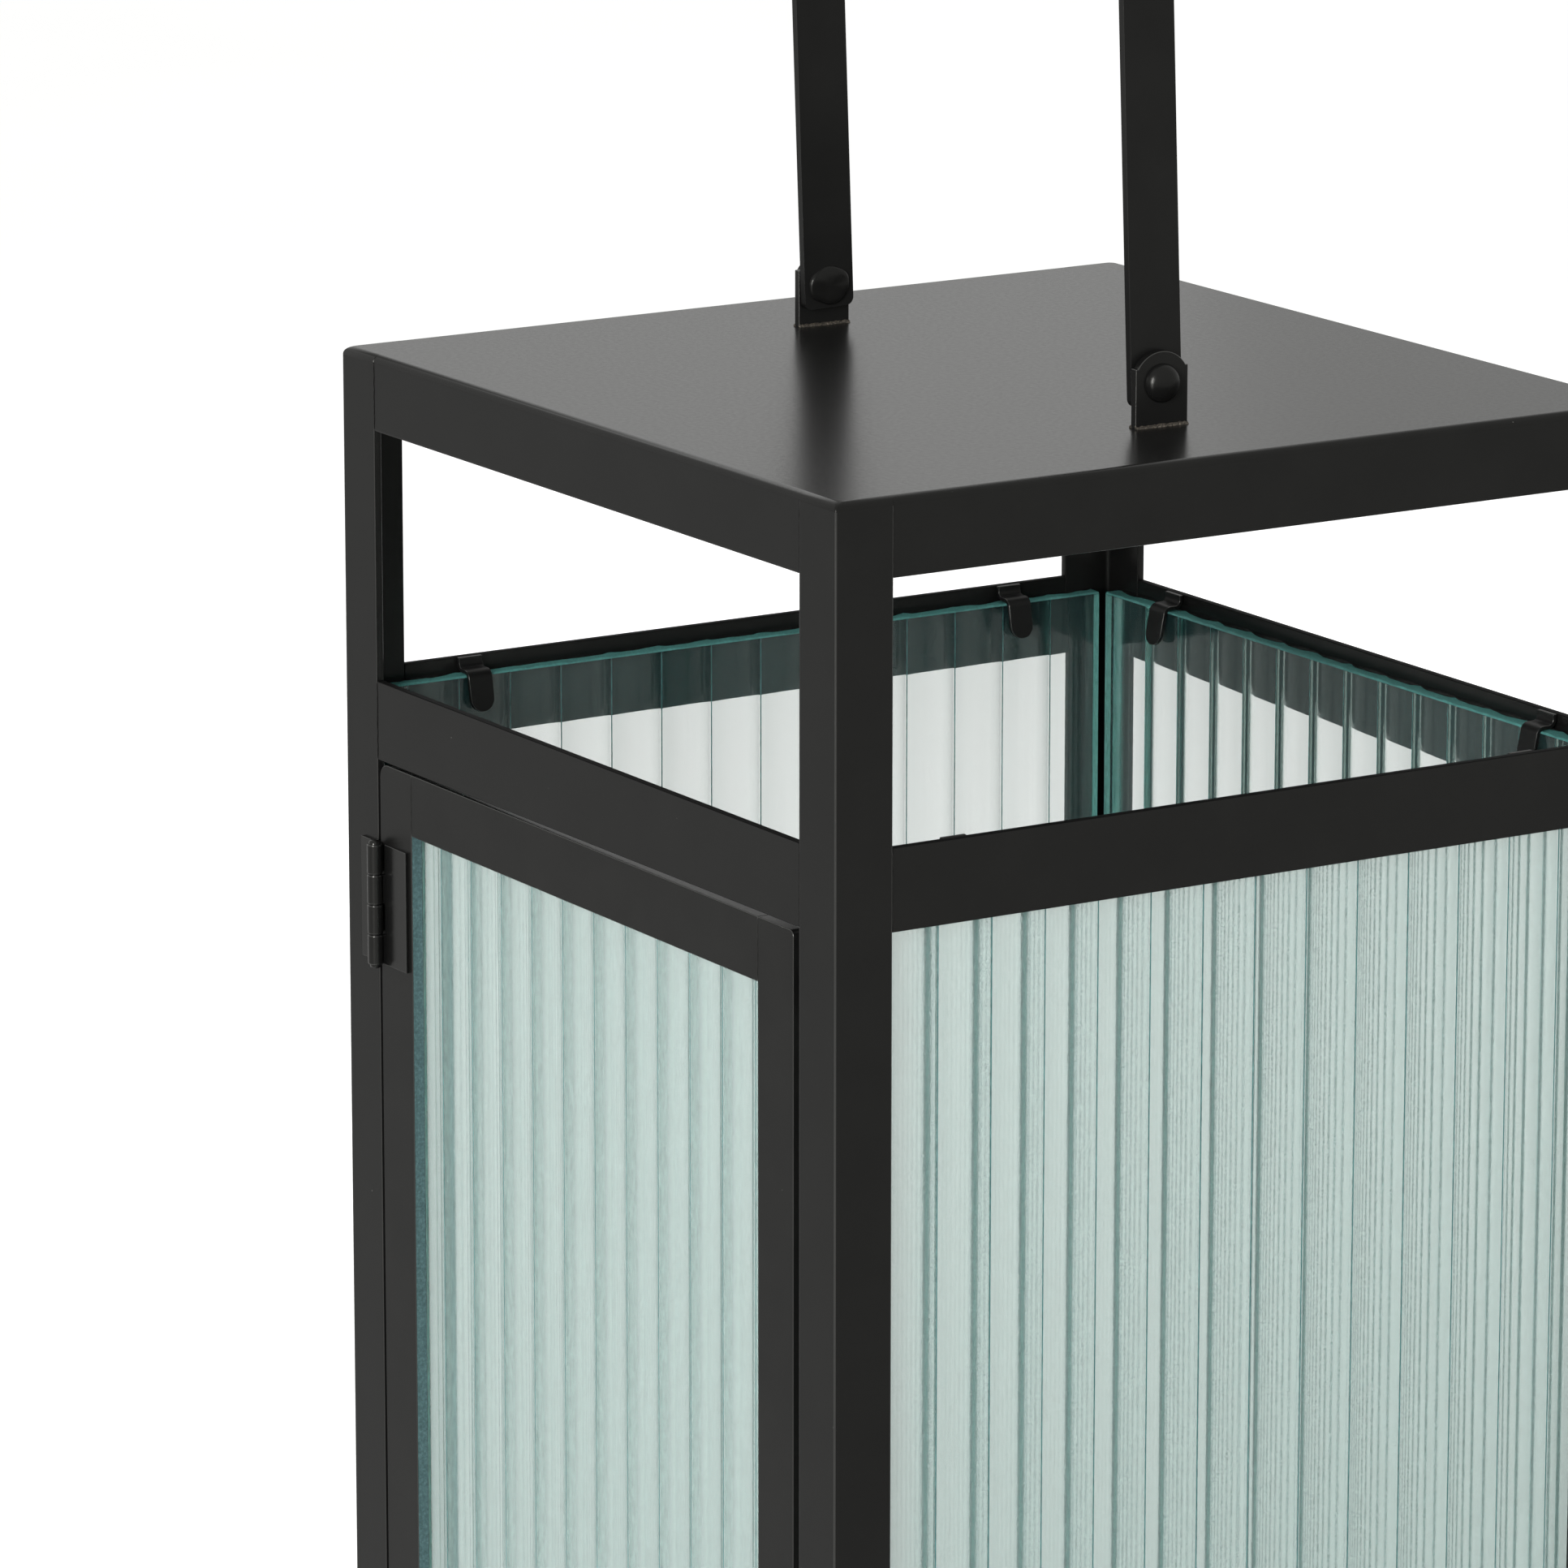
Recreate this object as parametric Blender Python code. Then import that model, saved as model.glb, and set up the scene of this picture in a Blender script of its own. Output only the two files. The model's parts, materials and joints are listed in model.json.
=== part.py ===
"""Candle lantern: a welded sheet-steel frame with fixed panes of reeded glass on three sides,
a hinged glazed door on the front, and a flat-bar carrying handle riveted between two lugs.

Frame of reference: origin at the middle of the base, +Z up, the door on the -Y side.
Every side is built as if it were the front one, then turned about Z: u runs along the side
to the right as seen from outside, v runs inwards from the outer face, and z runs up.
"""
import bpy
import bmesh
from math import asin, ceil, cos, floor, hypot, pi, radians, sin, sqrt
from mathutils import Matrix, Vector

# ---------------------------------------------------------------- driving dimensions (metres)
WIDTH = 0.220            # square plan, outside to outside
HEIGHT = 0.450           # base to the top plate's upper face
SHEET = 0.002            # thickness of plate, rails and angle iron
GAP = 0.0003             # clearance kept between pieces that touch
LEG = 0.015              # leg of the equal-angle posts
EDGE_ROUND = 0.0015      # rounding of folds and of the posts' outer corners

FASCIA = 0.0182          # height of the folded edges of the top plate and of the base tray
RAIL_TOP = 0.0787        # upper edge of the upper rails, below the top plate's face
RAIL_BOTTOM = 0.0979     # lower edge of the upper rails, below the top plate's face

DOOR_GAP_HINGE = 0.0011  # clearance at the door's hinged edge
DOOR_GAP_LATCH = 0.0023  # clearance at the door's free edge
DOOR_GAP_ENDS = 0.0013   # clearance above and below the door
DOOR_BAR = 0.015         # width of the door's flat bars
DOOR_THICK = 0.003       # thickness of the door's flat bars

GLASS_THICK = 0.0045     # over the ridges
FLUTE_PITCH = 0.0142     # ridge to ridge
FLUTE_RADIUS = 0.0215    # hollow of a flute
FLUTE_STEPS = 4          # straight facets across a flute
PANE_WIDTH = 0.204
PANE_TOP = 0.0825        # upper edge of the fixed panes, below the top plate's face
DOOR_PANE_LAP = 0.004    # how far the door's pane reaches behind its stiles
DOOR_PANE_TOP = 0.0046   # upper edge of the door's pane, below the door's upper edge

CLIP_WIDTH = 0.0065
CLIP_THICK = 0.001
CLIP_SPREAD = 0.155      # between the two clips of one edge
CLIP_FOOT = 0.003        # part of a clip that lies on its rail
CLIP_REACH = 0.0095      # part of a clip that hangs down behind the pane
CLIP_LEAN = 0.0016       # how far a clip's tip stands off the glass
CLIP_BEND = 0.0008       # inside length of the chamfer at a clip's bend
LOWER_CLIP_FOOT = 0.0075
LOWER_CLIP_HEIGHT = 0.0115

STOP_HEIGHT = 0.008      # the door stops: bent tabs on the latch-side post
STOP_LAP = 0.007         # how far a stop reaches behind the door
STOP_FOOT = 0.006        # end of a stop's foot, from the side's outer face
STOP_JOG = 0.0012        # length of its sloping middle

HINGE_LENGTH = 0.0295
HINGE_INSET = 0.0333     # middle of a hinge from the nearer end of the door
BARREL_LAP = 0.001       # hinge axis from the door's hinged edge, over the door
KNUCKLE_RADIUS = 0.0019
KNUCKLE_BORE = 0.0011
HINGE_PIN_RADIUS = 0.0008
HINGE_PIN_HEAD = 0.0015
HINGE_LEAF = 0.0008
DOOR_LEAF_WIDTH = 0.0123
POST_LEAF_WIDTH = 0.0092

LUG_SPREAD = 0.150       # over the outer faces of the two handle lugs
LUG_WIDTH = 0.014
LUG_SIDES = 0.0137       # height of a lug's straight sides
LUG_HEIGHT = 0.0173
LUG_SHOULDER = 0.0009
PIVOT_HEIGHT = 0.010     # handle pivot above the top plate
HANDLE_YAW = radians(-1.0)   # lugs, rivets and handle stand slightly askew on the plate
HANDLE_SHIFT = 0.0003    # and slightly behind its middle
HANDLE_WIDTH = 0.0135    # flat bar of the handle
HANDLE_END = 0.0055      # pivot to the square-cut end of the bar
HANDLE_CORNER = 0.002    # rounding of that end's corners
HANDLE_RISE = 0.133      # pivot to the upper face of the grip
HANDLE_BEND = 0.014      # bend radius at the middle of the bar's thickness
HANDLE_LEAN = radians(2.0)
RIVET_SHANK = 0.0024
RIVET_HOLE = 0.0028
RIVET_HEAD = 0.0045
RIVET_TAIL = 0.0052
RIVET_TAIL_THICK = 0.001

KNOB_INSET = 0.006       # spindle axis from the door's free edge
KNOB_RADIUS = 0.0065
KNOB_LENGTH = 0.014
SPINDLE_RADIUS = 0.002
SPINDLE_HOLE = 0.0024
TONGUE_LENGTH = 0.018
TONGUE_WIDTH = 0.008
TONGUE_THICK = 0.0018

# ---------------------------------------------------------------- places worked out from them
HALF = WIDTH / 2
POST_EDGE = HALF - LEG
DOOR_LEFT = -POST_EDGE + DOOR_GAP_HINGE
DOOR_RIGHT = POST_EDGE - DOOR_GAP_LATCH
DOOR_CENTRE = (DOOR_LEFT + DOOR_RIGHT) / 2
DOOR_HALF = (DOOR_RIGHT - DOOR_LEFT) / 2
DOOR_TOP = HEIGHT - RAIL_BOTTOM - DOOR_GAP_ENDS
DOOR_BOTTOM = FASCIA + DOOR_GAP_ENDS
DOOR_MIDDLE = (DOOR_TOP + DOOR_BOTTOM) / 2
DOOR_AXIS = Vector((DOOR_LEFT + BARREL_LAP, -HALF - GAP - KNUCKLE_RADIUS, 0))
HANDLE_LINE = Matrix.Translation((0, HANDLE_SHIFT, 0)) @ Matrix.Rotation(HANDLE_YAW, 4, "Z")
HANDLE_AXIS = HANDLE_LINE @ Vector((0, 0, HEIGHT + PIVOT_HEIGHT))
LATCH_AXIS = Vector((DOOR_RIGHT - KNOB_INSET, -HALF, DOOR_MIDDLE))
HINGE_HEIGHTS = (("lower", DOOR_BOTTOM + HINGE_INSET), ("upper", DOOR_TOP - HINGE_INSET))
SIDES = ("front", "right", "back", "left")
PANE_PHASE = {"right": -0.0390, "back": -0.0126, "left": 0.0103, "door": 0.0010}


# ---------------------------------------------------------------- materials
def material(name, colour, roughness, metallic=0.0, transmission=0.0):
    mat = bpy.data.materials.new(name)
    mat.use_nodes = True
    shader = mat.node_tree.nodes["Principled BSDF"]
    shader.inputs["Base Color"].default_value = (*colour, 1.0)
    shader.inputs["Roughness"].default_value = roughness
    shader.inputs["Metallic"].default_value = metallic
    shader.inputs["Transmission Weight"].default_value = transmission
    shader.inputs["IOR"].default_value = 1.52
    return mat


# ---------------------------------------------------------------- mesh helpers
def finish_mesh(name, bm):
    bmesh.ops.recalc_face_normals(bm, faces=bm.faces)
    mesh = bpy.data.meshes.new(name)
    bm.to_mesh(mesh)
    bm.free()
    return mesh


def prism(name, outline, start, end, axis="Z"):
    """Closed outline in the plane across `axis`, extruded from start to end along it."""
    def point(a, b, c):
        return {"X": (c, a, b), "Y": (a, c, b), "Z": (a, b, c)}[axis]
    bm = bmesh.new()
    near = [bm.verts.new(point(a, b, start)) for a, b in outline]
    far = [bm.verts.new(point(a, b, end)) for a, b in outline]
    bm.faces.new(near)
    bm.faces.new(far)
    for i in range(len(outline)):
        j = (i + 1) % len(outline)
        bm.faces.new((near[i], near[j], far[j], far[i]))
    return finish_mesh(name, bm)


def turned(name, profile, segments):
    """Profile of (radius, z) from one end to the other, turned about Z; its ends lie on the axis."""
    bm = bmesh.new()
    first = bm.verts.new((0, 0, profile[0][1]))
    last = bm.verts.new((0, 0, profile[-1][1]))
    rings = []
    for radius, z in profile[1:-1]:
        angles = [2 * pi * k / segments for k in range(segments)]
        rings.append([bm.verts.new((radius * cos(a), radius * sin(a), z)) for a in angles])
    for k in range(segments):
        n = (k + 1) % segments
        bm.faces.new((first, rings[0][n], rings[0][k]))
        bm.faces.new((last, rings[-1][k], rings[-1][n]))
        for lower, upper in zip(rings, rings[1:]):
            bm.faces.new((lower[k], lower[n], upper[n], upper[k]))
    return finish_mesh(name, bm)


def strip(name, stations, thickness):
    """A bent flat bar: stations of (x, z, half width) along its middle, with its width along Y."""
    bm = bmesh.new()
    rings = []
    for i, (x, z, half) in enumerate(stations):
        before = stations[max(i - 1, 0)]
        after = stations[min(i + 1, len(stations) - 1)]
        into = Vector((x - before[0], z - before[1]))
        out = Vector((after[0] - x, after[1] - z))
        into = into.normalized() if into.length else out.normalized()
        out = out.normalized() if out.length else into
        along = (into + out).normalized()
        mitre = thickness / 2 / max(along.dot(into), 0.3)
        side = Vector((-along.y, along.x)) * mitre
        corners = ((side, -half), (side, half), (-side, half), (-side, -half))
        rings.append([bm.verts.new((x + s.x, y, z + s.y)) for s, y in corners])
    bm.faces.new(rings[0])
    bm.faces.new(rings[-1])
    for a, b in zip(rings, rings[1:]):
        for k in range(4):
            n = (k + 1) % 4
            bm.faces.new((a[k], a[n], b[n], b[k]))
    return finish_mesh(name, bm)


def arc(cx, cy, radius, start, end, steps):
    """Points of an arc, angles in degrees."""
    angles = [radians(start + (end - start) * k / steps) for k in range(steps + 1)]
    return [(cx + radius * cos(a), cy + radius * sin(a)) for a in angles]


def round_end(length, half, steps):
    """(distance from the tip, half width) for a bar whose end is a half circle."""
    reach = [half * (1 - cos(radians(14 + 76 * k / steps))) for k in range(steps + 1)]
    return [(d, sqrt(max(half ** 2 - (half - d) ** 2, 0))) for d in reach if d < length]


# ---------------------------------------------------------------- object helpers
def add(name, mesh, mat, at=(0, 0, 0), side=0, parent=None):
    """A named piece; `at` is its origin as (u, v, z) on a side, or in the world under a parent."""
    obj = bpy.data.objects.new(name, mesh)
    bpy.context.scene.collection.objects.link(obj)
    if not mesh.materials:
        mesh.materials.append(mat)
    if parent:
        obj.parent = parent
        obj.location = Vector(at) - parent.matrix_world.translation
    else:
        turn = Matrix.Rotation(radians(90) * side, 4, "Z")
        obj.matrix_world = turn @ Matrix.Translation((at[0], at[1] - HALF, at[2]))
    return obj


def axis_empty(name, location, parent=None):
    """An empty on a joint's axis, which carries the pieces that turn about it."""
    empty = bpy.data.objects.new(name, None)
    bpy.context.scene.collection.objects.link(empty)
    empty.parent = parent
    empty.location = location - (parent.location if parent else Vector())
    bpy.context.view_layer.update()
    return empty


def cutter(name, mesh, parent=None):
    obj = bpy.data.objects.new(name, mesh)
    bpy.context.scene.collection.objects.link(obj)
    obj.hide_render = True
    obj.display_type = "WIRE"
    obj.parent = parent
    return obj


def combine(obj, tool, operation):
    boolean = obj.modifiers.new(operation.title(), "BOOLEAN")
    boolean.operation = operation
    boolean.solver = "EXACT"
    boolean.object = tool


def cylinder(name, radius, start, end, axis="Z", segments=20):
    half_step = 180 / segments
    outline = arc(0, 0, radius, half_step, 360 - half_step, segments - 1)
    return prism(name, outline, start, end, axis)


def smooth(obj, angle=40):
    obj.data.shade_smooth()
    obj.data.set_sharp_from_angle(angle=radians(angle))


# ---------------------------------------------------------------- frame
def corner_outline():
    """Section of the angle iron at the front left corner: its legs run along +X and +Y."""
    outer = arc(EDGE_ROUND, EDGE_ROUND, EDGE_ROUND, 270, 180, 3)
    return [(LEG, SHEET), (LEG, 0), *outer, (0, LEG), (SHEET, LEG), (SHEET, SHEET)]


def build_posts(steel):
    top = HEIGHT - SHEET - GAP
    mesh = prism("post", corner_outline(), 0, top)
    corners = ("front_left", "front_right", "back_right", "back_left")
    for side, corner in enumerate(corners):
        add("post_" + corner, mesh, steel, (-HALF, 0, 0), side)


def folded_tray(name, plate_at, edge_at, notched):
    """A square sheet whose four edges are folded to reach from plate_at to edge_at.

    The sheet is SHEET thick. Its folded edges run between the posts. Where it is notched,
    the sheet's corners are cut out around the angle-iron posts.
    """
    fold = POST_EDGE - GAP
    inner = HALF - SHEET
    cuts = [-HALF, -inner, -inner + GAP, -fold, fold, inner - GAP, inner, HALF]
    down = edge_at < plate_at
    faces = (plate_at, plate_at - SHEET) if down else (plate_at, plate_at + SHEET)

    def is_fold(a, b):
        return abs(a) > inner and abs(b) < fold

    def is_sheet(a, b):
        at_corner = abs(a) > fold and abs(b) > fold
        return not (notched and at_corner and max(abs(a), abs(b)) > inner - GAP)

    bm = bmesh.new()
    verts = {}

    def vert(i, j, z):
        key = (i, j, round(z, 6))
        if key not in verts:
            verts[key] = bm.verts.new((cuts[i], cuts[j], z))
        return verts[key]

    def cell(i, j):
        """Heights of a cell's outer and inner face, or None outside the sheet."""
        if not (0 <= i < len(cuts) - 1 and 0 <= j < len(cuts) - 1):
            return None
        a, b = (cuts[i] + cuts[i + 1]) / 2, (cuts[j] + cuts[j + 1]) / 2
        if is_fold(a, b) or is_fold(b, a):
            return faces[0], edge_at
        return faces if is_sheet(a, b) else None

    def wall(p, q, heights):
        levels = sorted({round(z, 6) for z in heights})
        low, high = levels[0], levels[-1]
        middle = [round(faces[1], 6)] if low < faces[1] - 1e-6 < high - 2e-6 else []
        for a, b in zip([low, *middle], [*middle, high]):
            bm.faces.new((vert(*p, a), vert(*q, a), vert(*q, b), vert(*p, b)))

    for i in range(len(cuts) - 1):
        for j in range(len(cuts) - 1):
            here = cell(i, j)
            if here is None:
                continue
            for z in here:
                ring = ((i, j), (i + 1, j), (i + 1, j + 1), (i, j + 1))
                bm.faces.new([vert(*p, z) for p in ring])
            ends = (((i, j), (i + 1, j), (i, j - 1)), ((i + 1, j), (i + 1, j + 1), (i + 1, j)),
                    ((i + 1, j + 1), (i, j + 1), (i, j + 1)), ((i, j + 1), (i, j), (i - 1, j)))
            for p, q, beside in ends:
                there = cell(*beside)
                if there is None:
                    wall(p, q, here)
                elif here[1] != there[1] and here[1] == edge_at:
                    wall(p, q, (here[1], there[1]))
    return bm


def round_plate_edges(bm):
    """Round the top plate's outer rim, where the sheet is folded and the corners are ground."""
    def on_rim(edge):
        a, b = (v.co for v in edge.verts)
        flat = a.z > HEIGHT - 1e-5 and b.z > HEIGHT - 1e-5
        same_x = abs(a.x) > HALF - 1e-5 and abs(b.x) > HALF - 1e-5 and a.x * b.x > 0
        same_y = abs(a.y) > HALF - 1e-5 and abs(b.y) > HALF - 1e-5 and a.y * b.y > 0
        upright = same_x and same_y and hypot(a.x - b.x, a.y - b.y) < 1e-6
        return (flat and (same_x or same_y)) or upright
    rim = [edge for edge in bm.edges if on_rim(edge)]
    bmesh.ops.bevel(bm, geom=rim, offset=EDGE_ROUND, offset_type="OFFSET", segments=3,
                    profile=0.5, affect="EDGES")


def build_sheets(steel):
    top = folded_tray("top_plate", HEIGHT, HEIGHT - FASCIA, notched=False)
    round_plate_edges(top)
    base = folded_tray("base_tray", 0, FASCIA, notched=True)
    for name, bm in (("top_plate", top), ("base_tray", base)):
        add(name, finish_mesh(name, bm), steel, (0, HALF, 0))


def build_rails(steel):
    """Flat bars between the posts, above the panes and the door."""
    half = POST_EDGE - GAP
    outline = [(-half, 0), (half, 0), (half, SHEET), (-half, SHEET)]
    mesh = prism("upper_rail", outline, 0, RAIL_BOTTOM - RAIL_TOP)
    for side, where in enumerate(SIDES):
        add("upper_rail_" + where, mesh, steel, (0, 0, HEIGHT - RAIL_BOTTOM), side)


def build_stops(steel):
    """Bent tabs on the latch-side post, which the closed door rests against."""
    lap, bend, foot = POST_EDGE - STOP_LAP, POST_EDGE + STOP_JOG, HALF - STOP_FOOT
    back = DOOR_THICK + GAP
    front = SHEET + GAP
    mitre = CLIP_THICK / 2
    outline = [(lap, back), (bend - STOP_JOG, back), (bend, front), (foot, front),
               (foot, front + CLIP_THICK), (bend + mitre, front + CLIP_THICK),
               (bend - STOP_JOG + mitre, back + CLIP_THICK), (lap, back + CLIP_THICK)]
    mesh = prism("door_stop", outline, 0, STOP_HEIGHT)
    for where, z in (("lower", DOOR_BOTTOM + 0.010), ("upper", DOOR_TOP - 0.010 - STOP_HEIGHT)):
        add("door_stop_" + where, mesh, steel, (0, 0, z))


# ---------------------------------------------------------------- glass and its clips
def pane_outline(half, phase):
    """Section of a reeded pane: hollow flutes outside, with ridges at phase + k * pitch."""
    first = ceil((-half - phase) / FLUTE_PITCH) - 1
    last = floor((half - phase) / FLUTE_PITCH) + 1
    swing = asin(FLUTE_PITCH / 2 / FLUTE_RADIUS)
    ridge = FLUTE_RADIUS * cos(swing)

    def depth(u):
        middle = phase + (floor((u - phase) / FLUTE_PITCH) + 0.5) * FLUTE_PITCH
        return sqrt(FLUTE_RADIUS ** 2 - (u - middle) ** 2) - ridge

    step = FLUTE_PITCH / FLUTE_STEPS
    count = (last - first) * FLUTE_STEPS
    stations = [phase + first * FLUTE_PITCH + k * step for k in range(count + 1)]
    inside = [u for u in stations if -half + 0.001 < u < half - 0.001]
    return [(u, depth(u)) for u in (-half, *inside, half)] + [(half, GLASS_THICK), (-half, GLASS_THICK)]


def build_panes(glass):
    bottom, top = SHEET + GAP, HEIGHT - PANE_TOP
    for side, where in enumerate(SIDES[1:], start=1):
        outline = pane_outline(PANE_WIDTH / 2, PANE_PHASE[where])
        mesh = prism("pane_" + where, outline, 0, top - bottom)
        add("pane_" + where, mesh, glass, (0, SHEET + GAP, bottom), side)


def clip_mesh(back_face):
    """Clip that leaves a bar's inner face, bends over a pane's edge and hangs down inside it.

    It is drawn with x running inwards and z up, from the bar's face at x = 0 and the pane's
    edge at z = 0; back_face is the pane's inner face, measured from the bar's.
    """
    mid = CLIP_THICK / 2
    over = GAP + mid
    rise = over + CLIP_FOOT
    inner = back_face + GAP + mid
    half = CLIP_WIDTH / 2
    path = [(GAP + mid, rise), (GAP + mid, over + CLIP_BEND), (GAP + mid + CLIP_BEND, over),
            (inner - CLIP_BEND, over), (inner, over - CLIP_BEND)]
    stations = [(x, z, half) for x, z in path]
    tip = Vector((inner + CLIP_LEAN, over - CLIP_REACH))
    along = (Vector(path[-1]) - tip).normalized()
    for distance, wide in reversed(round_end(0.006, half, 4)):
        spot = tip + along * distance
        stations.append((spot.x, spot.y, wide))
    return strip("glass_clip", stations, CLIP_THICK)


def lower_clip_mesh():
    """Angle tab welded to the tray's floor, standing behind a pane's lower edge."""
    mid = CLIP_THICK / 2
    half = CLIP_WIDTH / 2
    path = [(LOWER_CLIP_FOOT, GAP + mid), (GAP + mid + CLIP_BEND, GAP + mid),
            (GAP + mid, GAP + mid + CLIP_BEND)]
    stations = [(x, z, half) for x, z in path]
    tip = Vector((GAP + mid + CLIP_LEAN, LOWER_CLIP_HEIGHT))
    along = (Vector(path[-1]) - tip).normalized()
    for distance, wide in reversed(round_end(0.006, half, 4)):
        spot = tip + along * distance
        stations.append((spot.x, spot.y, wide))
    return strip("lower_clip", stations, CLIP_THICK)


def build_pane_clips(clip_steel):
    """Two clips over each fixed pane, and two on the tray's upstand under it."""
    mesh = clip_mesh(GAP + GLASS_THICK)
    low = lower_clip_mesh()
    for side, where in enumerate(SIDES[1:], start=1):
        for end, u in (("a", -CLIP_SPREAD / 2), ("b", CLIP_SPREAD / 2)):
            upper = add(f"clip_{where}_upper_{end}", mesh, clip_steel)
            place_clip(upper, (u, SHEET, HEIGHT - PANE_TOP), side)
            lower = add(f"clip_{where}_lower_{end}", low, clip_steel)
            place_clip(lower, (u, SHEET + GAP + GLASS_THICK, SHEET), side)


def place_clip(obj, at, side, parent=None, flip=False):
    """Clips are drawn across Y with x inwards: turn them so that x runs along v."""
    turn = Matrix.Rotation(radians(90) * side, 4, "Z")
    spot = Matrix.Translation((at[0], at[1] - HALF, at[2]))
    inwards = Matrix.Rotation(radians(90), 4, "Z")
    over = Matrix.Rotation(radians(180), 4, "X") if flip else Matrix.Identity(4)
    world = turn @ spot @ inwards @ over
    if parent:
        obj.parent = parent
        world = Matrix.Translation(-parent.matrix_world.translation) @ world
    obj.matrix_basis = world


# ---------------------------------------------------------------- door
def build_door(steel, glass, clip_steel, axis):
    height = DOOR_TOP - DOOR_BOTTOM
    stile = [(0, 0), (DOOR_BAR, 0), (DOOR_BAR, DOOR_THICK), (0, DOOR_THICK)]
    rail_length = 2 * (DOOR_HALF - DOOR_BAR - GAP)
    rail = [(0, 0), (rail_length, 0), (rail_length, DOOR_THICK), (0, DOOR_THICK)]
    left = prism("stile", stile, 0, height)
    right = prism("stile", stile, 0, height)
    bar = prism("door_rail", rail, 0, DOOR_BAR)
    add("door_stile_left", left, steel, (DOOR_LEFT, -HALF, DOOR_BOTTOM), parent=axis)
    latch_stile = add("door_stile_right", right, steel,
                      (DOOR_RIGHT - DOOR_BAR, -HALF, DOOR_BOTTOM), parent=axis)
    for name, z in (("door_rail_bottom", DOOR_BOTTOM), ("door_rail_top", DOOR_TOP - DOOR_BAR)):
        add(name, bar, steel, (DOOR_CENTRE - rail_length / 2, -HALF, z), parent=axis)

    hole = cutter("spindle_hole", cylinder("spindle_hole", SPINDLE_HOLE, -0.01, 0.02, "Y"), axis)
    hole.location = LATCH_AXIS - axis.matrix_world.translation
    combine(latch_stile, hole, "DIFFERENCE")

    half = DOOR_HALF - DOOR_BAR + DOOR_PANE_LAP
    bottom, top = DOOR_BOTTOM + DOOR_PANE_TOP, DOOR_TOP - DOOR_PANE_TOP
    pane = prism("door_pane", pane_outline(half, PANE_PHASE["door"]), 0, top - bottom)
    add("door_pane", pane, glass, (DOOR_CENTRE, DOOR_THICK + GAP - HALF, bottom), parent=axis)

    mesh = clip_mesh(GAP + GLASS_THICK)
    for end, u in (("a", -CLIP_SPREAD / 2 + 0.012), ("b", CLIP_SPREAD / 2 - 0.012)):
        upper = add(f"clip_door_upper_{end}", mesh, clip_steel)
        place_clip(upper, (u, DOOR_THICK, top), 0, axis)
        lower = add(f"clip_door_lower_{end}", mesh, clip_steel)
        place_clip(lower, (u, DOOR_THICK, bottom), 0, axis, flip=True)


def leaf_mesh(name, width, direction, own_knuckles):
    """Hinge leaf about its barrel's axis; direction is +1 for the door's leaf, -1 for the post's.

    Tabs at the leaf's own knuckles reach in to the axis, and notches clear the others.
    """
    knuckle = HINGE_LENGTH / 4
    clear = KNUCKLE_RADIUS + GAP
    outline = [(width, -HINGE_LENGTH / 2), (width, HINGE_LENGTH / 2)]
    for k in (3, 2, 1, 0):
        low = -HINGE_LENGTH / 2 + k * knuckle
        high = low + knuckle
        x = 0.0002 if k in own_knuckles else clear
        low += GAP / 2 * (1 if x < clear else -1) * (k > 0)
        high -= GAP / 2 * (1 if x < clear else -1) * (k < 3)
        outline += [(x, high), (x, low)]
    front = KNUCKLE_RADIUS - HINGE_LEAF
    return prism(name, [(direction * a, b) for a, b in outline], front, KNUCKLE_RADIUS, "Y")


def build_hinges(steel, door_steel, axis):
    knuckle = HINGE_LENGTH / 4
    bore = cylinder("bore", KNUCKLE_BORE, -HINGE_LENGTH, HINGE_LENGTH, segments=14)
    pin_half = HINGE_LENGTH / 2 + GAP
    head = HINGE_PIN_HEAD
    pin = turned("pin", [(0, -pin_half - 0.0008), (head * 0.7, -pin_half - 0.0007),
                         (head, -pin_half - 0.0003), (head, -pin_half),
                         (HINGE_PIN_RADIUS, -pin_half), (HINGE_PIN_RADIUS, pin_half),
                         (head, pin_half), (head, pin_half + 0.0003),
                         (head * 0.7, pin_half + 0.0007), (0, pin_half + 0.0008)], 14)
    leaves = (("post_leaf", POST_LEAF_WIDTH, -1, (1, 3), steel, None),
              ("door_leaf", DOOR_LEAF_WIDTH, 1, (0, 2), door_steel, axis))
    for where, z in HINGE_HEIGHTS:
        spot = DOOR_AXIS + Vector((0, 0, z))
        for kind, width, direction, own, mat, parent in leaves:
            name = f"hinge_{where}_{kind}"
            mesh = leaf_mesh(name, width, direction, own)
            at = spot if parent else spot + Vector((0, HALF, 0))
            leaf = add(name, mesh, mat, at, parent=parent)
            for k in own:
                low = -HINGE_LENGTH / 2 + k * knuckle + GAP / 2 * (k > 0)
                high = -HINGE_LENGTH / 2 + (k + 1) * knuckle - GAP / 2 * (k < 3)
                barrel = cutter(f"{name}_knuckle_{k}",
                                cylinder("knuckle", KNUCKLE_RADIUS, low, high, segments=18))
                barrel.location = spot
                combine(leaf, barrel, "UNION")
            hole = cutter(name + "_bore", bore)
            hole.location = spot
            combine(leaf, hole, "DIFFERENCE")
        add(f"hinge_{where}_pin", pin, steel, spot + Vector((0, HALF, 0)))


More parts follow.
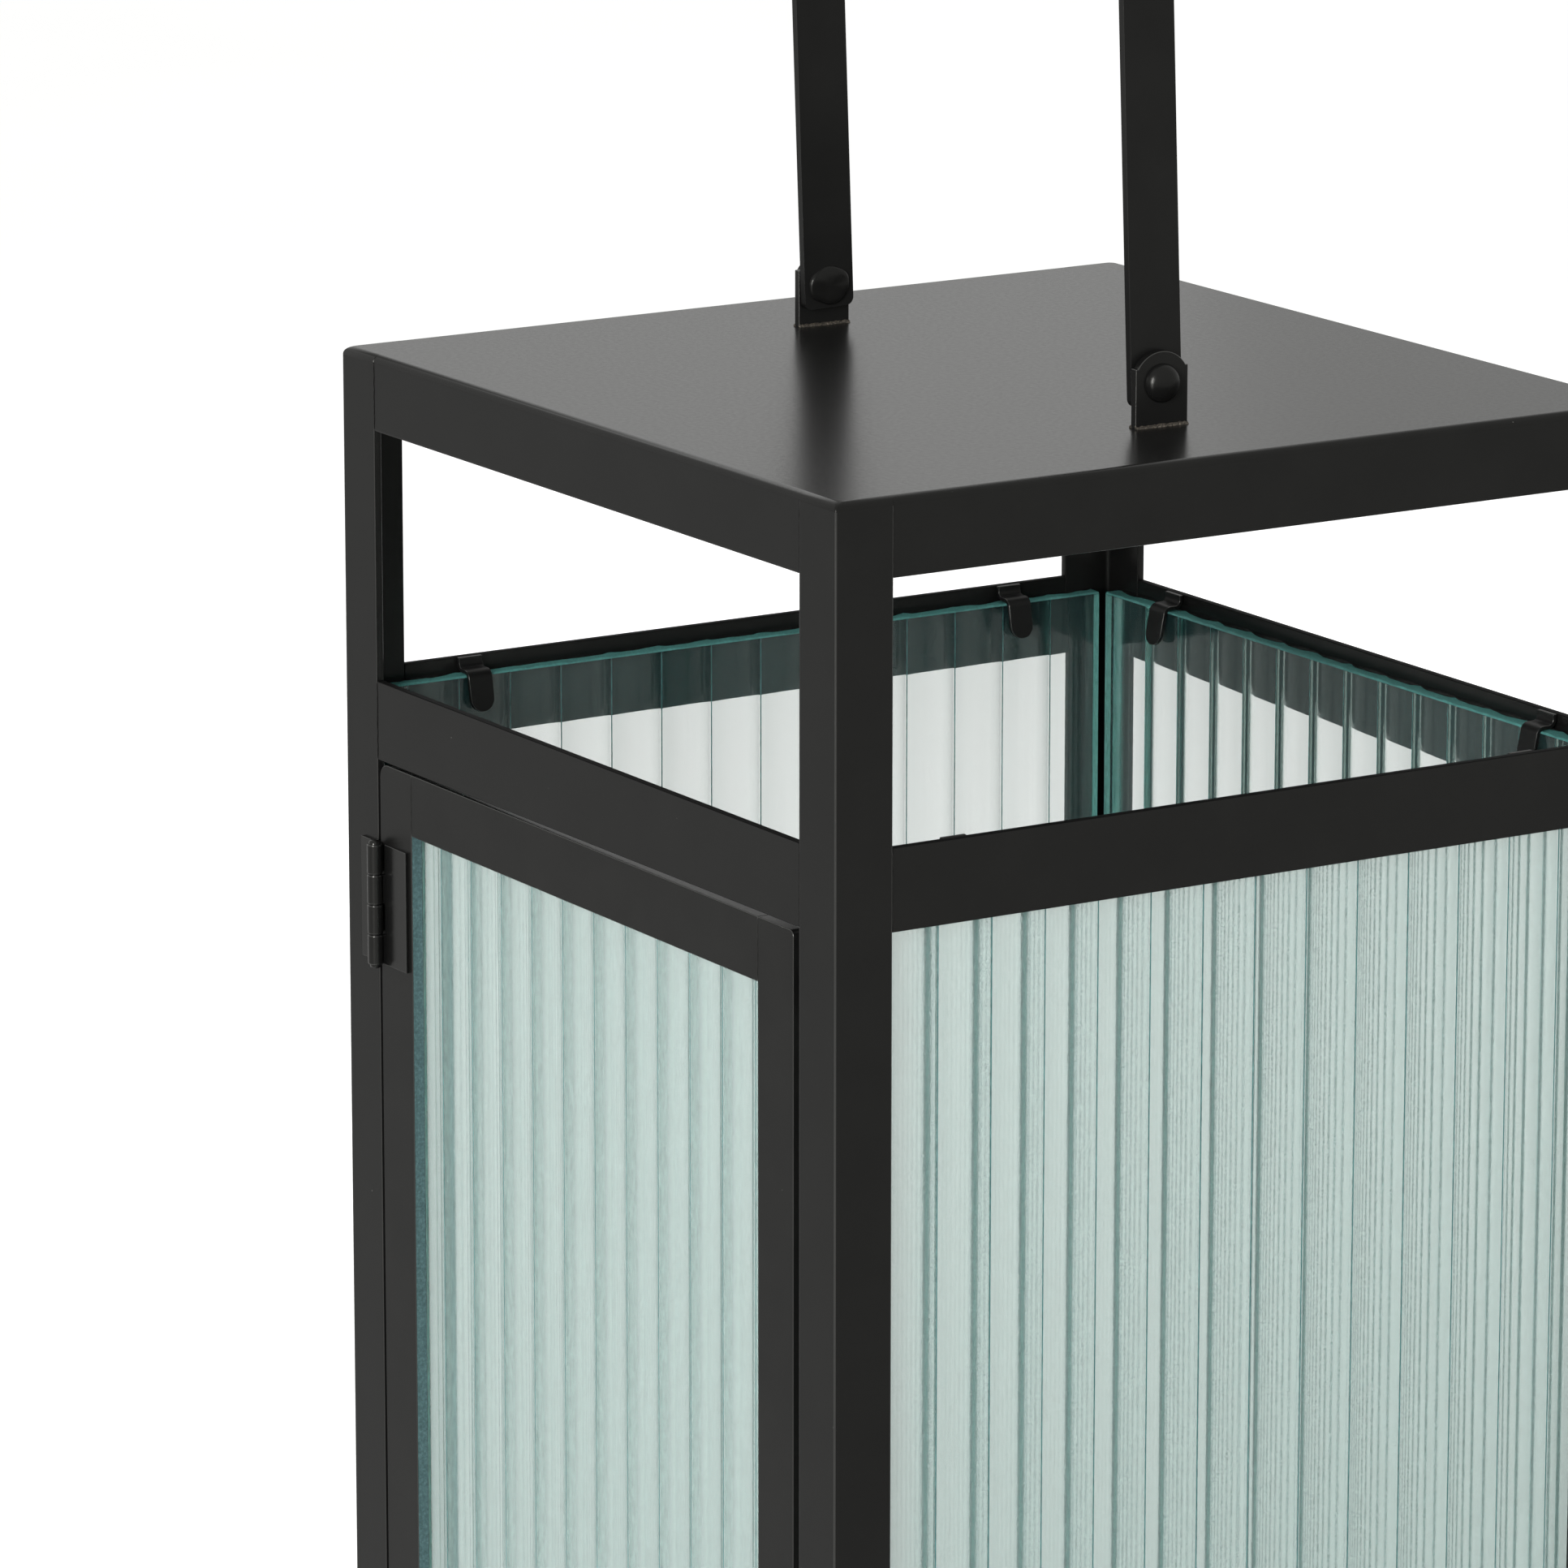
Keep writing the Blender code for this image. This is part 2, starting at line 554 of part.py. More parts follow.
# ---------------------------------------------------------------- latch
def build_latch(metal, axis):
    """Turn knob on the door, its spindle through the stile, and the tongue behind it.

    The tongue hangs down, clear of the post, which leaves the door free to open. A quarter
    turn brings it behind the post's leg.
    """
    face = -GAP
    knob = turned("latch_knob", [(0, -KNOB_LENGTH), (KNOB_RADIUS * 0.80, -KNOB_LENGTH),
                                 (KNOB_RADIUS * 0.97, -KNOB_LENGTH + 0.0006),
                                 (KNOB_RADIUS, -KNOB_LENGTH + 0.0014),
                                 (KNOB_RADIUS, -0.0050), (KNOB_RADIUS * 0.62, -0.0036),
                                 (KNOB_RADIUS * 0.58, -0.0012), (KNOB_RADIUS * 0.78, face),
                                 (0, face)], 24)
    tongue_front = DOOR_THICK + GAP
    tongue_back = tongue_front + TONGUE_THICK
    spindle = turned("latch_spindle", [(0, face + GAP), (SPINDLE_RADIUS, face + GAP),
                                       (SPINDLE_RADIUS, tongue_back + GAP),
                                       (0.0032, tongue_back + GAP), (0.0031, tongue_back + 0.0010),
                                       (0.0020, tongue_back + 0.0015), (0, tongue_back + 0.0016)], 20)
    for name, mesh in (("latch_knob", knob), ("latch_spindle", spindle)):
        round_piece = add(name, mesh, metal, LATCH_AXIS, parent=axis)
        round_piece.rotation_euler.x = radians(-90)
        smooth(round_piece)
    half = TONGUE_WIDTH / 2
    reach = TONGUE_LENGTH - half
    outline = [(-half * 0.5, -half), (reach - half, -half),
               *arc(reach - half, 0, half, -75, 75, 6), (reach - half, half),
               (-half * 0.5, half), (-half, half * 0.5), (-half, -half * 0.5)]
    tongue = add("latch_tongue", prism("latch_tongue", outline, tongue_front, tongue_back, "Y"),
                 metal, LATCH_AXIS, parent=axis)
    tongue.rotation_euler.y = radians(90)
    hole = cutter("tongue_hole", cylinder("tongue_hole", SPINDLE_RADIUS + GAP, -0.01, 0.02, "Y"), axis)
    combine(tongue, hole, "DIFFERENCE")


# ---------------------------------------------------------------- carrying handle
def align_with_handle(obj):
    """Move a piece that was placed along the X axis onto the handle's slightly askew line."""
    obj.location = HANDLE_LINE @ obj.location
    obj.rotation_euler.z = HANDLE_YAW


def build_lugs(steel):
    half = LUG_WIDTH / 2
    rise = LUG_HEIGHT - LUG_SIDES
    chord = half - LUG_SHOULDER
    radius = (chord ** 2 + rise ** 2) / (2 * rise)
    swing = asin(chord / radius) * 180 / pi
    top = arc(0, LUG_HEIGHT - radius, radius, 90 - swing, 90 + swing, 10)
    outline = [(-half, GAP), (half, GAP), (half, LUG_SIDES), *top, (-half, LUG_SIDES)]
    outer = LUG_SPREAD / 2
    hole_mesh = cylinder("lug_hole", RIVET_HOLE, -0.02, 0.02, "X")
    for where, sign in (("left", -1), ("right", 1)):
        mesh = prism("handle_lug_" + where, outline, sign * (outer - SHEET), sign * outer, "X")
        lug = add("handle_lug_" + where, mesh, steel, (0, HALF, HEIGHT))
        hole = cutter("lug_hole_" + where, hole_mesh)
        hole.location = (sign * outer, 0, HEIGHT + PIVOT_HEIGHT)
        combine(lug, hole, "DIFFERENCE")
        align_with_handle(lug)
        align_with_handle(hole)


def build_handle(steel, axis):
    """One flat bar, bent twice; its square-cut ends swing clear of the top plate."""
    half = HANDLE_WIDTH / 2
    side = LUG_SPREAD / 2 - SHEET - GAP - SHEET / 2
    top = HANDLE_RISE - SHEET / 2
    corner = arc(half - HANDLE_CORNER, HANDLE_CORNER - HANDLE_END, HANDLE_CORNER, -90, 0, 5)
    ends = [(z, wide) for wide, z in corner]
    left = [(-side, z, wide) for z, wide in ends]
    bend_left = arc(-side + HANDLE_BEND, top - HANDLE_BEND, HANDLE_BEND, 180, 90, 8)
    bend_right = arc(side - HANDLE_BEND, top - HANDLE_BEND, HANDLE_BEND, 90, 0, 8)
    bends = [(x, z, half) for x, z in bend_left + bend_right]
    right = [(side, z, wide) for z, wide in reversed(ends)]
    handle = add("handle", strip("handle", left + bends + right, SHEET), steel,
                 HANDLE_AXIS, parent=axis)
    hole_mesh = cylinder("handle_hole", RIVET_HOLE, -0.005, 0.005, "X")
    for where, sign in (("left", -1), ("right", 1)):
        hole = cutter("handle_hole_" + where, hole_mesh, axis)
        hole.location = (sign * side, 0, 0)
        combine(handle, hole, "DIFFERENCE")


def build_rivets(steel):
    """Domed head outside each lug, and a flattened tail inside the handle's bar."""
    lug_outside = SHEET + GAP + SHEET + GAP
    head, tail = RIVET_HEAD, RIVET_TAIL
    flat = -GAP - RIVET_TAIL_THICK
    profile = [(0, flat), (tail * 0.82, flat), (tail * 0.97, flat + 0.0004), (tail, -GAP),
               (RIVET_SHANK, -GAP), (RIVET_SHANK, lug_outside), (head, lug_outside),
               (head * 0.98, lug_outside + 0.0006), (head * 0.84, lug_outside + 0.0016),
               (head * 0.52, lug_outside + 0.0024), (0, lug_outside + 0.0027)]
    mesh = turned("rivet", profile, 20)
    inside = LUG_SPREAD / 2 - 2 * SHEET - GAP
    for where, sign in (("left", -1), ("right", 1)):
        rivet = add("handle_rivet_" + where, mesh, steel,
                    (sign * inside, HALF, HEIGHT + PIVOT_HEIGHT))
        rivet.rotation_euler.y = radians(90) * sign
        align_with_handle(rivet)
        smooth(rivet)


# ---------------------------------------------------------------- assembly
def main():
    for obj in list(bpy.data.objects):
        bpy.data.objects.remove(obj, do_unlink=True)

    frame_steel = material("black_powder_coat", (0.030, 0.030, 0.029), 0.45)
    door_steel = material("black_powder_coat_door", (0.032, 0.032, 0.031), 0.45)
    handle_steel = material("black_powder_coat_handle", (0.026, 0.026, 0.025), 0.48)
    clip_steel = material("black_spring_steel", (0.028, 0.028, 0.027), 0.50)
    latch_metal = material("black_hardware", (0.024, 0.024, 0.023), 0.40, 0.3)
    glass = material("reeded_glass", (0.86, 0.95, 0.92), 0.02, 0.0, 1.0)

    door_axis = axis_empty("door_axis", DOOR_AXIS)
    latch_axis = axis_empty("latch_axis", LATCH_AXIS, door_axis)
    handle_axis = axis_empty("handle_axis", HANDLE_AXIS)
    handle_axis.rotation_euler = (HANDLE_LEAN, 0, HANDLE_YAW)

    build_posts(frame_steel)
    build_sheets(frame_steel)
    build_rails(frame_steel)
    build_stops(frame_steel)
    build_panes(glass)
    build_pane_clips(clip_steel)
    build_door(door_steel, glass, clip_steel, door_axis)
    build_hinges(frame_steel, door_steel, door_axis)
    build_latch(latch_metal, latch_axis)
    build_lugs(frame_steel)
    build_handle(handle_steel, handle_axis)
    build_rivets(frame_steel)


main()
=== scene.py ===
"""Looks of the candle lantern: a black powder-coated steel frame, panes of reeded glass, and a
hinged glazed door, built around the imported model.

Metres, +Z up, the door on the -Y side. Every side is drawn as if it were the front one, with u
to the right as seen from outside and v inwards from the outer face, then turned about Z.
"""

import bmesh
import bpy
from math import asin, atan2, ceil, cos, floor, pi, radians, sin, sqrt
from mathutils import Matrix, Vector, noise
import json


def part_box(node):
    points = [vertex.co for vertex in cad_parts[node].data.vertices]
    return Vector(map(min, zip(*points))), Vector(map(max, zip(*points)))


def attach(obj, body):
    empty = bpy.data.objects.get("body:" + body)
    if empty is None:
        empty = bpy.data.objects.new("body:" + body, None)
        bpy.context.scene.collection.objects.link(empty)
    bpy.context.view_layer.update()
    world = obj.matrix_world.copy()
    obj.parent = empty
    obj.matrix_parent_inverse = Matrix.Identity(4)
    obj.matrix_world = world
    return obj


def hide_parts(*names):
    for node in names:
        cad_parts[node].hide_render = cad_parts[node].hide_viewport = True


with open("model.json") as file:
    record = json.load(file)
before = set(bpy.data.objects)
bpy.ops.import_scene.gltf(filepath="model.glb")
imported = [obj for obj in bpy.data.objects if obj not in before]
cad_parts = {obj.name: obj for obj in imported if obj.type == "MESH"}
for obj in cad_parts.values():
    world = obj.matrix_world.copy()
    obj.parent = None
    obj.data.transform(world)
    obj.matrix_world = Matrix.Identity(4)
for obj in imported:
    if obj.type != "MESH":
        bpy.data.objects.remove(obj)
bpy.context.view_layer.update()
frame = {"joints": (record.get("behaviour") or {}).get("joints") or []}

# ---------------------------------------------------------------- sizes read from the frame
PLATE_LOW, PLATE_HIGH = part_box("top_plate")
POST_LOW, POST_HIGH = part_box("post_front_left")
RAIL_LOW, RAIL_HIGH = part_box("upper_rail_front")
HALF = PLATE_HIGH.x
TOP = PLATE_HIGH.z
SHEET = RAIL_HIGH.y - RAIL_LOW.y
POST_EDGE = HALF - (POST_HIGH.x - POST_LOW.x)
SIDES = ("front", "right", "back", "left")
AXES = {joint["name"]: Vector(joint["pos_m"]) for joint in frame["joints"]}
LINES = {joint["name"]: Vector(joint["axis"]) for joint in frame["joints"]}
PIVOT = AXES["handle_hinge"]
HANDLE_YAW = Matrix.Rotation(atan2(LINES["handle_hinge"].y, LINES["handle_hinge"].x), 4, "Z")

# ---------------------------------------------------------------- sizes of the fine shapes
RIM_ROUND = 0.0019       # rounding of the top plate's folded edges
RIM_STEPS = 6
POST_ROUND = 0.0004      # outer corner of the angle iron
CUT_ROUND = 0.0003       # broken edges of cut sheet
BAR_ROUND = 0.00018      # of flat bars
SMALL_ROUND = 0.0002     # of clips, stops and lugs
LEAF_ROUND = 0.00012     # of hinge leaves
TONGUE_ROUND = 0.0003    # and of the latch's tongue
ROOT_FILLET = 0.0012     # inside corner of the angle iron
SEAM_STEP = 0.00012      # how far the posts stand proud of what is welded between them
HANDLE_ROUND = 0.0006
DOOR_CORNERS = {"left": 0.0035, "right": 0.0015}   # ground outer corners of the door frame
DOOR_RISE = 0.0008       # the door's top edge stands this much higher at the hinges
DOOR_SAG = 0.00075       # and this much lower again at the latch side

FLUTE_PITCH = 0.0142
FLUTE_RADIUS = 0.0215
FLUTE_STEPS = 20
RIDGE_ROUND = 0.00016    # half the width of the blunt ridge between two flutes
RIDGE_DEPTH = 0.35       # depth of its flat, as a share of RIDGE_ROUND
RIDGE_AT = {"right": -0.0390, "back": -0.0126, "left": 0.0103, "door": 0.0004}   # u of one ridge
GLASS_CUT = 0.0004       # height of the ground band along a pane's cut edge
GLASS_BREAK = 0.0003     # how far that band leans in, and how uneven it is

CLIP_THICK = 0.001
CLIP_HALF = 0.00325
CLIP_GAP = 0.0003        # between a clip and what it touches
CLIP_FOOT = 0.003        # how far a clip's foot stands over the pane's edge
CLIP_FOOT_BAR = 0.001    # straight length of the foot above its bend
CLIP_BEND = 0.0017
CLIP_REACH = 0.0095      # how far a clip hangs down over the glass
CLIP_LEAN = 0.0016       # how far its tip stands off the glass
CLIP_TIP = 0.006         # length over which the tip is drawn
TAB_REACH = 0.0075       # the lower tabs: length along the tray, bend and height
TAB_BEND = 0.0011
TAB_HEIGHT = 0.0115
TAB_MID = 0.0008         # middle of the tab's sheet, off the tray and off the glass
DOOR_BAR = 0.003         # thickness of the door's flat bar

STOP_THICK = 0.001
STOP_HALF = 0.004
STOP_JOG = 0.0012        # the jog lies this far past the post's leg
STOP_EASE = 0.0002       # rounding of the jog

WELD_SIZE = 0.0007       # height of the weld along the foot of a lug
FLOOR_LIFT = 0.5         # how much brighter than lit the floor looks
HANDLE_LEAN = radians(2.0)
HANDLE_BEND = 0.014
HANDLE_HALF = 0.00675    # half the width of the handle's bar
HANDLE_TOP = 0.133       # pivot to the grip's upper face
HANDLE_END = 0.0055      # pivot to the bar's square-cut end
HANDLE_CORNER = 0.002
LUG_FACE = 0.075         # outer faces of the lugs, from the middle
LUG_HALF = 0.007
LUG_SIDES = 0.0137       # height of a lug's straight sides
LUG_SHOULDER = 0.0006
BAR_FACE = 0.0707        # inner faces of the handle's bar
RIVET_HEAD = 0.0045      # radius and height of the domed head
RIVET_RISE = 0.0030
RIVET_TAIL = 0.0052      # radius and thickness of the hammered tail
RIVET_TAIL_THICK = 0.0010
RIVET_SHANK = 0.0024
RIVET_PLAY = 0.0001      # between a rivet and the faces beside it

BARREL = 0.0019          # radius of a hinge's barrel
BARREL_SOFT = 0.0002     # rounding of its knuckles
KNUCKLES = 4
KNUCKLE_PLAY = 0.0003    # between neighbouring knuckles' leaves
LEAF_FRONT = BARREL - 0.0005   # the leaves' faces, behind the pin's line
LEAF_BACK = BARREL + 0.0003
LEAF_ROOT = 0.0004       # where a leaf meets its own knuckles, beside the pin's line
PIN_HEAD = 0.0015

KNOB_FACE = 0.72         # the knob's flat face, as a share of its radius
KNOB_CROWN = 0.0012      # height of its rounded rim
SPINDLE = 0.002          # radii of the spindle and of the washer at its end
WASHER = 0.0032
WASHER_LOW = 0.0016      # where the washer starts and ends, before the spindle's end
WASHER_HIGH = 0.0010


# ---------------------------------------------------------------- node helpers
class Nodes:
    """Short way to write a material's node tree."""

    def __init__(self, tree):
        self.tree = tree
        self.tree.nodes.clear()

    def add(self, kind, **settings):
        node = self.tree.nodes.new(kind)
        for name, value in settings.items():
            if name in node.inputs:
                node.inputs[name].default_value = value
            else:
                setattr(node, name, value)
        return node

    def join(self, source, target):
        self.tree.links.new(source, target)

    def coordinates(self, stretch):
        """Object coordinates, scaled differently along each axis."""
        place = self.add("ShaderNodeTexCoord")
        mapping = self.add("ShaderNodeMapping", Scale=stretch)
        self.join(place.outputs["Object"], mapping.inputs["Vector"])
        return mapping.outputs["Vector"]

    def noise(self, scale, detail=2.0, roughness=0.5, stretch=(1, 1, 1)):
        texture = self.add("ShaderNodeTexNoise", Scale=scale, Detail=detail, Roughness=roughness)
        self.join(self.coordinates(stretch), texture.inputs["Vector"])
        return texture.outputs["Fac"]

    def ramp(self, value, *stops):
        ramp = self.add("ShaderNodeValToRGB")
        while len(ramp.color_ramp.elements) < len(stops):
            ramp.color_ramp.elements.new(0.5)
        for element, (position, colour) in zip(ramp.color_ramp.elements, stops):
            element.position = position
            channels = colour if isinstance(colour, tuple) else (colour, colour, colour)
            element.color = (*channels, 1.0)
        self.join(value, ramp.inputs["Fac"])
        return ramp.outputs["Color"]

    def blend(self, factor, first, second):
        mix = self.add("ShaderNodeMix", data_type="RGBA")
        self.join(factor, mix.inputs["Factor"])
        self.join(first, mix.inputs["A"])
        self.join(second, mix.inputs["B"])
        return mix.outputs["Result"]

    def mix_shader(self, factor, first, second):
        mix = self.add("ShaderNodeMixShader")
        if isinstance(factor, float):
            mix.inputs["Fac"].default_value = factor
        else:
            self.join(factor, mix.inputs["Fac"])
        self.join(first, mix.inputs[1])
        self.join(second, mix.inputs[2])
        return mix.outputs["Shader"]

    def bump(self, height, strength, distance, normal=None):
        bump = self.add("ShaderNodeBump", Strength=strength, Distance=distance)
        self.join(height, bump.inputs["Height"])
        if normal:
            self.join(normal, bump.inputs["Normal"])
        return bump.outputs["Normal"]

    def shader(self, **inputs):
        shader = self.add("ShaderNodeBsdfPrincipled")
        for name, value in inputs.items():
            shader.inputs[name.replace("_", " ")].default_value = value
        output = self.add("ShaderNodeOutputMaterial")
        self.join(shader.outputs["BSDF"], output.inputs["Surface"])
        return shader, output


def new_material(name):
    material = bpy.data.materials.new(name)
    material.use_nodes = True
    return material, Nodes(material.node_tree)


# ---------------------------------------------------------------- materials
EDGE_HIGHLIGHT_COAT = "rubbed_edge_coat"   # lighter, glossier coat on edges: its lighter colour is a painted highlight along them
COATS = {                     # darkest and lightest colour, roughness, IOR
    "frame_powder_coat": ((0.0072, 0.0072, 0.0070), (0.0088, 0.0088, 0.0085), 0.25),
    "door_powder_coat": ((0.0068, 0.0068, 0.0066), (0.0098, 0.0097, 0.0092), 0.32),
    "handle_powder_coat": ((0.0060, 0.0060, 0.0060), (0.0085, 0.0085, 0.0083), 0.34),
    "clip_powder_coat": ((0.0060, 0.0060, 0.0062), (0.0085, 0.0085, 0.0085), 0.45),
    "latch_satin_black": ((0.0060, 0.0060, 0.0060), (0.0080, 0.0080, 0.0080), 0.30),
    "hinge_powder_coat": ((0.0050, 0.0050, 0.0050), (0.0070, 0.0070, 0.0068), 0.18, 1.45),
    # lighter colour on the edges is a painted highlight; the higher IOR and lower roughness make them
    # glossy
    EDGE_HIGHLIGHT_COAT: ((0.0080, 0.0082, 0.0085), (0.0120, 0.0122, 0.0125), 0.20, 1.75),
    "sawn_edge_coat": ((0.0060, 0.0060, 0.0060), (0.0085, 0.0085, 0.0083), 0.60, 1.10),
}
GLASSES = {                   # roughness, grain height, share and colour of the haze, share let through
    "clear": (0.0, 0.000008, 0.018, (0.30, 0.88, 0.92)),
    "hazy": (0.0, 0.000008, 0.14, (0.70, 0.97, 0.94)),
    "ground_edge": (0.35, 0.00006, 0.7, (0.16, 0.50, 0.46)),
    "ridge": (0.25, 0.00003, 0.60, (0.30, 0.74, 0.74), 0.5),
}
SKIN = 0.00002           # bump height of the powder coat
DRAW_LINES = 0.0000007   # bump height of the lines along the glass


def powder_coat(name, dark, light, gloss, ior=1.30):
    """Fine-textured black powder coat: a grainy skin, faint clouding and a few specks of dust."""
    material, nodes = new_material(name)
    shader, _ = nodes.shader(IOR=ior, Specular_Tint=(1.0, 0.995, 0.94, 1.0))
    clouds = nodes.noise(60, 5.0)
    colour = nodes.ramp(clouds, (0.3, dark), (0.7, light))
    cells = nodes.add("ShaderNodeTexVoronoi", Scale=420.0, Randomness=1.0)
    nodes.join(nodes.coordinates((1, 1, 1)), cells.inputs["Vector"])
    rare = nodes.add("ShaderNodeSeparateColor")
    nodes.join(cells.outputs["Color"], rare.inputs["Color"])
    chosen = nodes.ramp(rare.outputs["Red"], (0.970, 0.0), (0.980, 1.0))
    near = nodes.ramp(cells.outputs["Distance"], (0.03, 1.0), (0.06, 0.0))
    speck = nodes.add("ShaderNodeMath", operation="MULTIPLY")
    nodes.join(chosen, speck.inputs[0])
    nodes.join(near, speck.inputs[1])
    dust = nodes.add("ShaderNodeRGB")
    dust.outputs[0].default_value = (0.16, 0.16, 0.15, 1.0)
    nodes.join(nodes.blend(speck.outputs[0], colour, dust.outputs[0]), shader.inputs["Base Color"])
    grain = nodes.noise(900, 3.0)
    nodes.join(nodes.ramp(grain, (0.3, gloss - 0.02), (0.7, gloss + 0.02)), shader.inputs["Roughness"])
    nodes.join(nodes.bump(nodes.noise(2600, 2.0), 0.5, SKIN), shader.inputs["Normal"])
    return material


def weld_coat():
    """Rough weld metal under a thin coat, with sandy specks where the coat is broken."""
    material, nodes = new_material("weld_coat")
    shader, _ = nodes.shader(IOR=1.45, Specular_IOR_Level=0.4)
    grains = nodes.noise(3800, 4.0, 0.7)
    colour = nodes.ramp(grains, (0.42, (0.012, 0.011, 0.009)), (0.54, (0.060, 0.050, 0.038)),
                        (0.70, (0.30, 0.26, 0.21)))
    nodes.join(colour, shader.inputs["Base Color"])
    nodes.join(nodes.ramp(grains, (0.3, 0.55), (0.7, 0.75)), shader.inputs["Roughness"])
    nodes.join(nodes.bump(nodes.noise(2200, 3.0), 0.8, 0.0001), shader.inputs["Normal"])
    return material


def painted_glass_reflection():
    """Mottled sea-green colour on the door stile's inner wall beside the pane: painted reflection and
    light of the glass that it touches.
    """
    material, nodes = new_material("glass_bedding")
    shader, _ = nodes.shader(IOR=1.35)
    mottle = nodes.noise(1500, 4.0, 0.7)
    colour = nodes.ramp(mottle, (0.34, (0.045, 0.085, 0.090)), (0.52, (0.070, 0.130, 0.136)),
                        (0.70, (0.120, 0.200, 0.215)))
    nodes.join(colour, shader.inputs["Base Color"])
    nodes.join(nodes.ramp(mottle, (0.3, 0.45), (0.7, 0.65)), shader.inputs["Roughness"])
    nodes.join(nodes.bump(mottle, 0.6, 0.00005), shader.inputs["Normal"])
    return material


def reeded_glass(name, roughness, grain, haze, haze_colour, through=0.0):
    """Greenish rolled glass: fine draw lines along the flutes and the grain of the roller.

    A little light scatters at its skin, the haze, and the share `through` of that goes on
    through the glass. Lamps shine straight through it.
    """
    material, nodes = new_material(name)
    shader, output = nodes.shader(Roughness=roughness, IOR=1.52, Transmission_Weight=1.0)
    tint = nodes.ramp(nodes.noise(700, 2.0, 0.5, (1, 1, 0.01)),
                      (0.3, (0.955, 0.955, 0.950)), (0.7, (0.980, 0.980, 0.975)))
    nodes.join(tint, shader.inputs["Base Color"])
    lines = nodes.bump(nodes.noise(1900, 2.0, 0.6, (1, 1, 0.004)), 1.0, DRAW_LINES)
    skin = nodes.bump(nodes.noise(2400, 2.0, 0.6), 1.0, grain, lines)
    nodes.join(skin, shader.inputs["Normal"])
    cloud = nodes.add("ShaderNodeBsdfDiffuse")
    speckle = nodes.noise(1600, 3.0, 0.7, (1, 1, 0.25))
    dull = tuple(0.55 * channel for channel in haze_colour)
    colour = nodes.ramp(speckle, (0.35, dull), (0.65, haze_colour))
    nodes.join(colour, cloud.inputs["Color"])
    scattered = cloud.outputs["BSDF"]
    if through:
        passed = nodes.add("ShaderNodeBsdfTranslucent")
        nodes.join(colour, passed.inputs["Color"])
        scattered = nodes.mix_shader(through, scattered, passed.outputs["BSDF"])
    hazy = nodes.mix_shader(haze, shader.outputs["BSDF"], scattered)
    open_way = nodes.add("ShaderNodeBsdfTransparent", Color=(0.90, 0.94, 0.93, 1.0))
    path = nodes.add("ShaderNodeLightPath")
    surface = nodes.mix_shader(path.outputs["Is Shadow Ray"], hazy, open_way.outputs["BSDF"])
    nodes.join(surface, output.inputs["Surface"])
    depth = nodes.add("ShaderNodeVolumeAbsorption", Color=(0.20, 0.47, 0.37, 1.0), Density=32.0)
    nodes.join(depth.outputs["Volume"], output.inputs["Volume"])
    return material


def pale_floor():
    """Matt paper, which looks white however dimly it is lit."""
    material, nodes = new_material("pale_floor")
    shader, _ = nodes.shader(Specular_IOR_Level=0.1, Emission_Color=(1.0, 1.0, 1.0, 1.0))
    path = nodes.add("ShaderNodeLightPath")
    lift = nodes.add("ShaderNodeMath", operation="MULTIPLY")
    nodes.join(path.outputs["Is Camera Ray"], lift.inputs[0])
    lift.inputs[1].default_value = FLOOR_LIFT
    nodes.join(lift.outputs[0], shader.inputs["Emission Strength"])
    nodes.join(nodes.ramp(nodes.noise(3.0), (0.3, 0.80), (0.7, 0.82)), shader.inputs["Base Color"])
    nodes.join(nodes.ramp(nodes.noise(5.0), (0.3, 0.8), (0.7, 0.9)), shader.inputs["Roughness"])
    return material


# ---------------------------------------------------------------- mesh helpers
def arc(cx, cy, radius, start, end, steps):
    """Points of an arc, angles in degrees."""
    angles = [radians(start + (end - start) * k / steps) for k in range(steps + 1)]
    return [(cx + radius * cos(a), cy + radius * sin(a)) for a in angles]


def extrude(outline, start, end, axis="Z", bm=None):
    """Closed outline in the plane across `axis`, carried from start to end along it."""
    def point(a, b, c):
        return {"X": (c, a, b), "Y": (a, c, b), "Z": (a, b, c)}[axis]
    bm = bm or bmesh.new()
    near = [bm.verts.new(point(a, b, start)) for a, b in outline]
    far = [bm.verts.new(point(a, b, end)) for a, b in outline]
    bm.faces.new(near)
    bm.faces.new(far)
    for i in range(len(outline)):
        j = (i + 1) % len(outline)
        bm.faces.new((near[i], near[j], far[j], far[i]))
    return bm


def bridge(bm, rings):
    """Closed skin over rings of equally many points."""
    made = [[bm.verts.new(p) for p in ring] for ring in rings]
    for a, b in zip(made, made[1:]):
        for k in range(len(a)):
            n = (k + 1) % len(a)
            bm.faces.new((a[k], a[n], b[n], b[k]))
    bm.faces.new(made[0])
    bm.faces.new(made[-1])
    return bm


def join(bm, other):
    """Adds another mesh to this one."""
    mesh = bpy.data.meshes.new("part")
    other.to_mesh(mesh)
    other.free()
    bm.from_mesh(mesh)
    bpy.data.meshes.remove(mesh)


def turned(profile, segments):
    """Profile of (radius, z), both ends on the axis, turned about Z."""
    bm = bmesh.new()
    tips = [bm.verts.new((0, 0, profile[k][1])) for k in (0, -1)]
    rings = []
    for radius, z in profile[1:-1]:
        angles = [2 * pi * k / segments for k in range(segments)]
        rings.append([bm.verts.new((radius * cos(a), radius * sin(a), z)) for a in angles])
    for k in range(segments):
        n = (k + 1) % segments
        bm.faces.new((tips[0], rings[0][n], rings[0][k]))
        bm.faces.new((tips[1], rings[-1][k], rings[-1][n]))
        for lower, upper in zip(rings, rings[1:]):
            bm.faces.new((lower[k], lower[n], upper[n], upper[k]))
    return bm


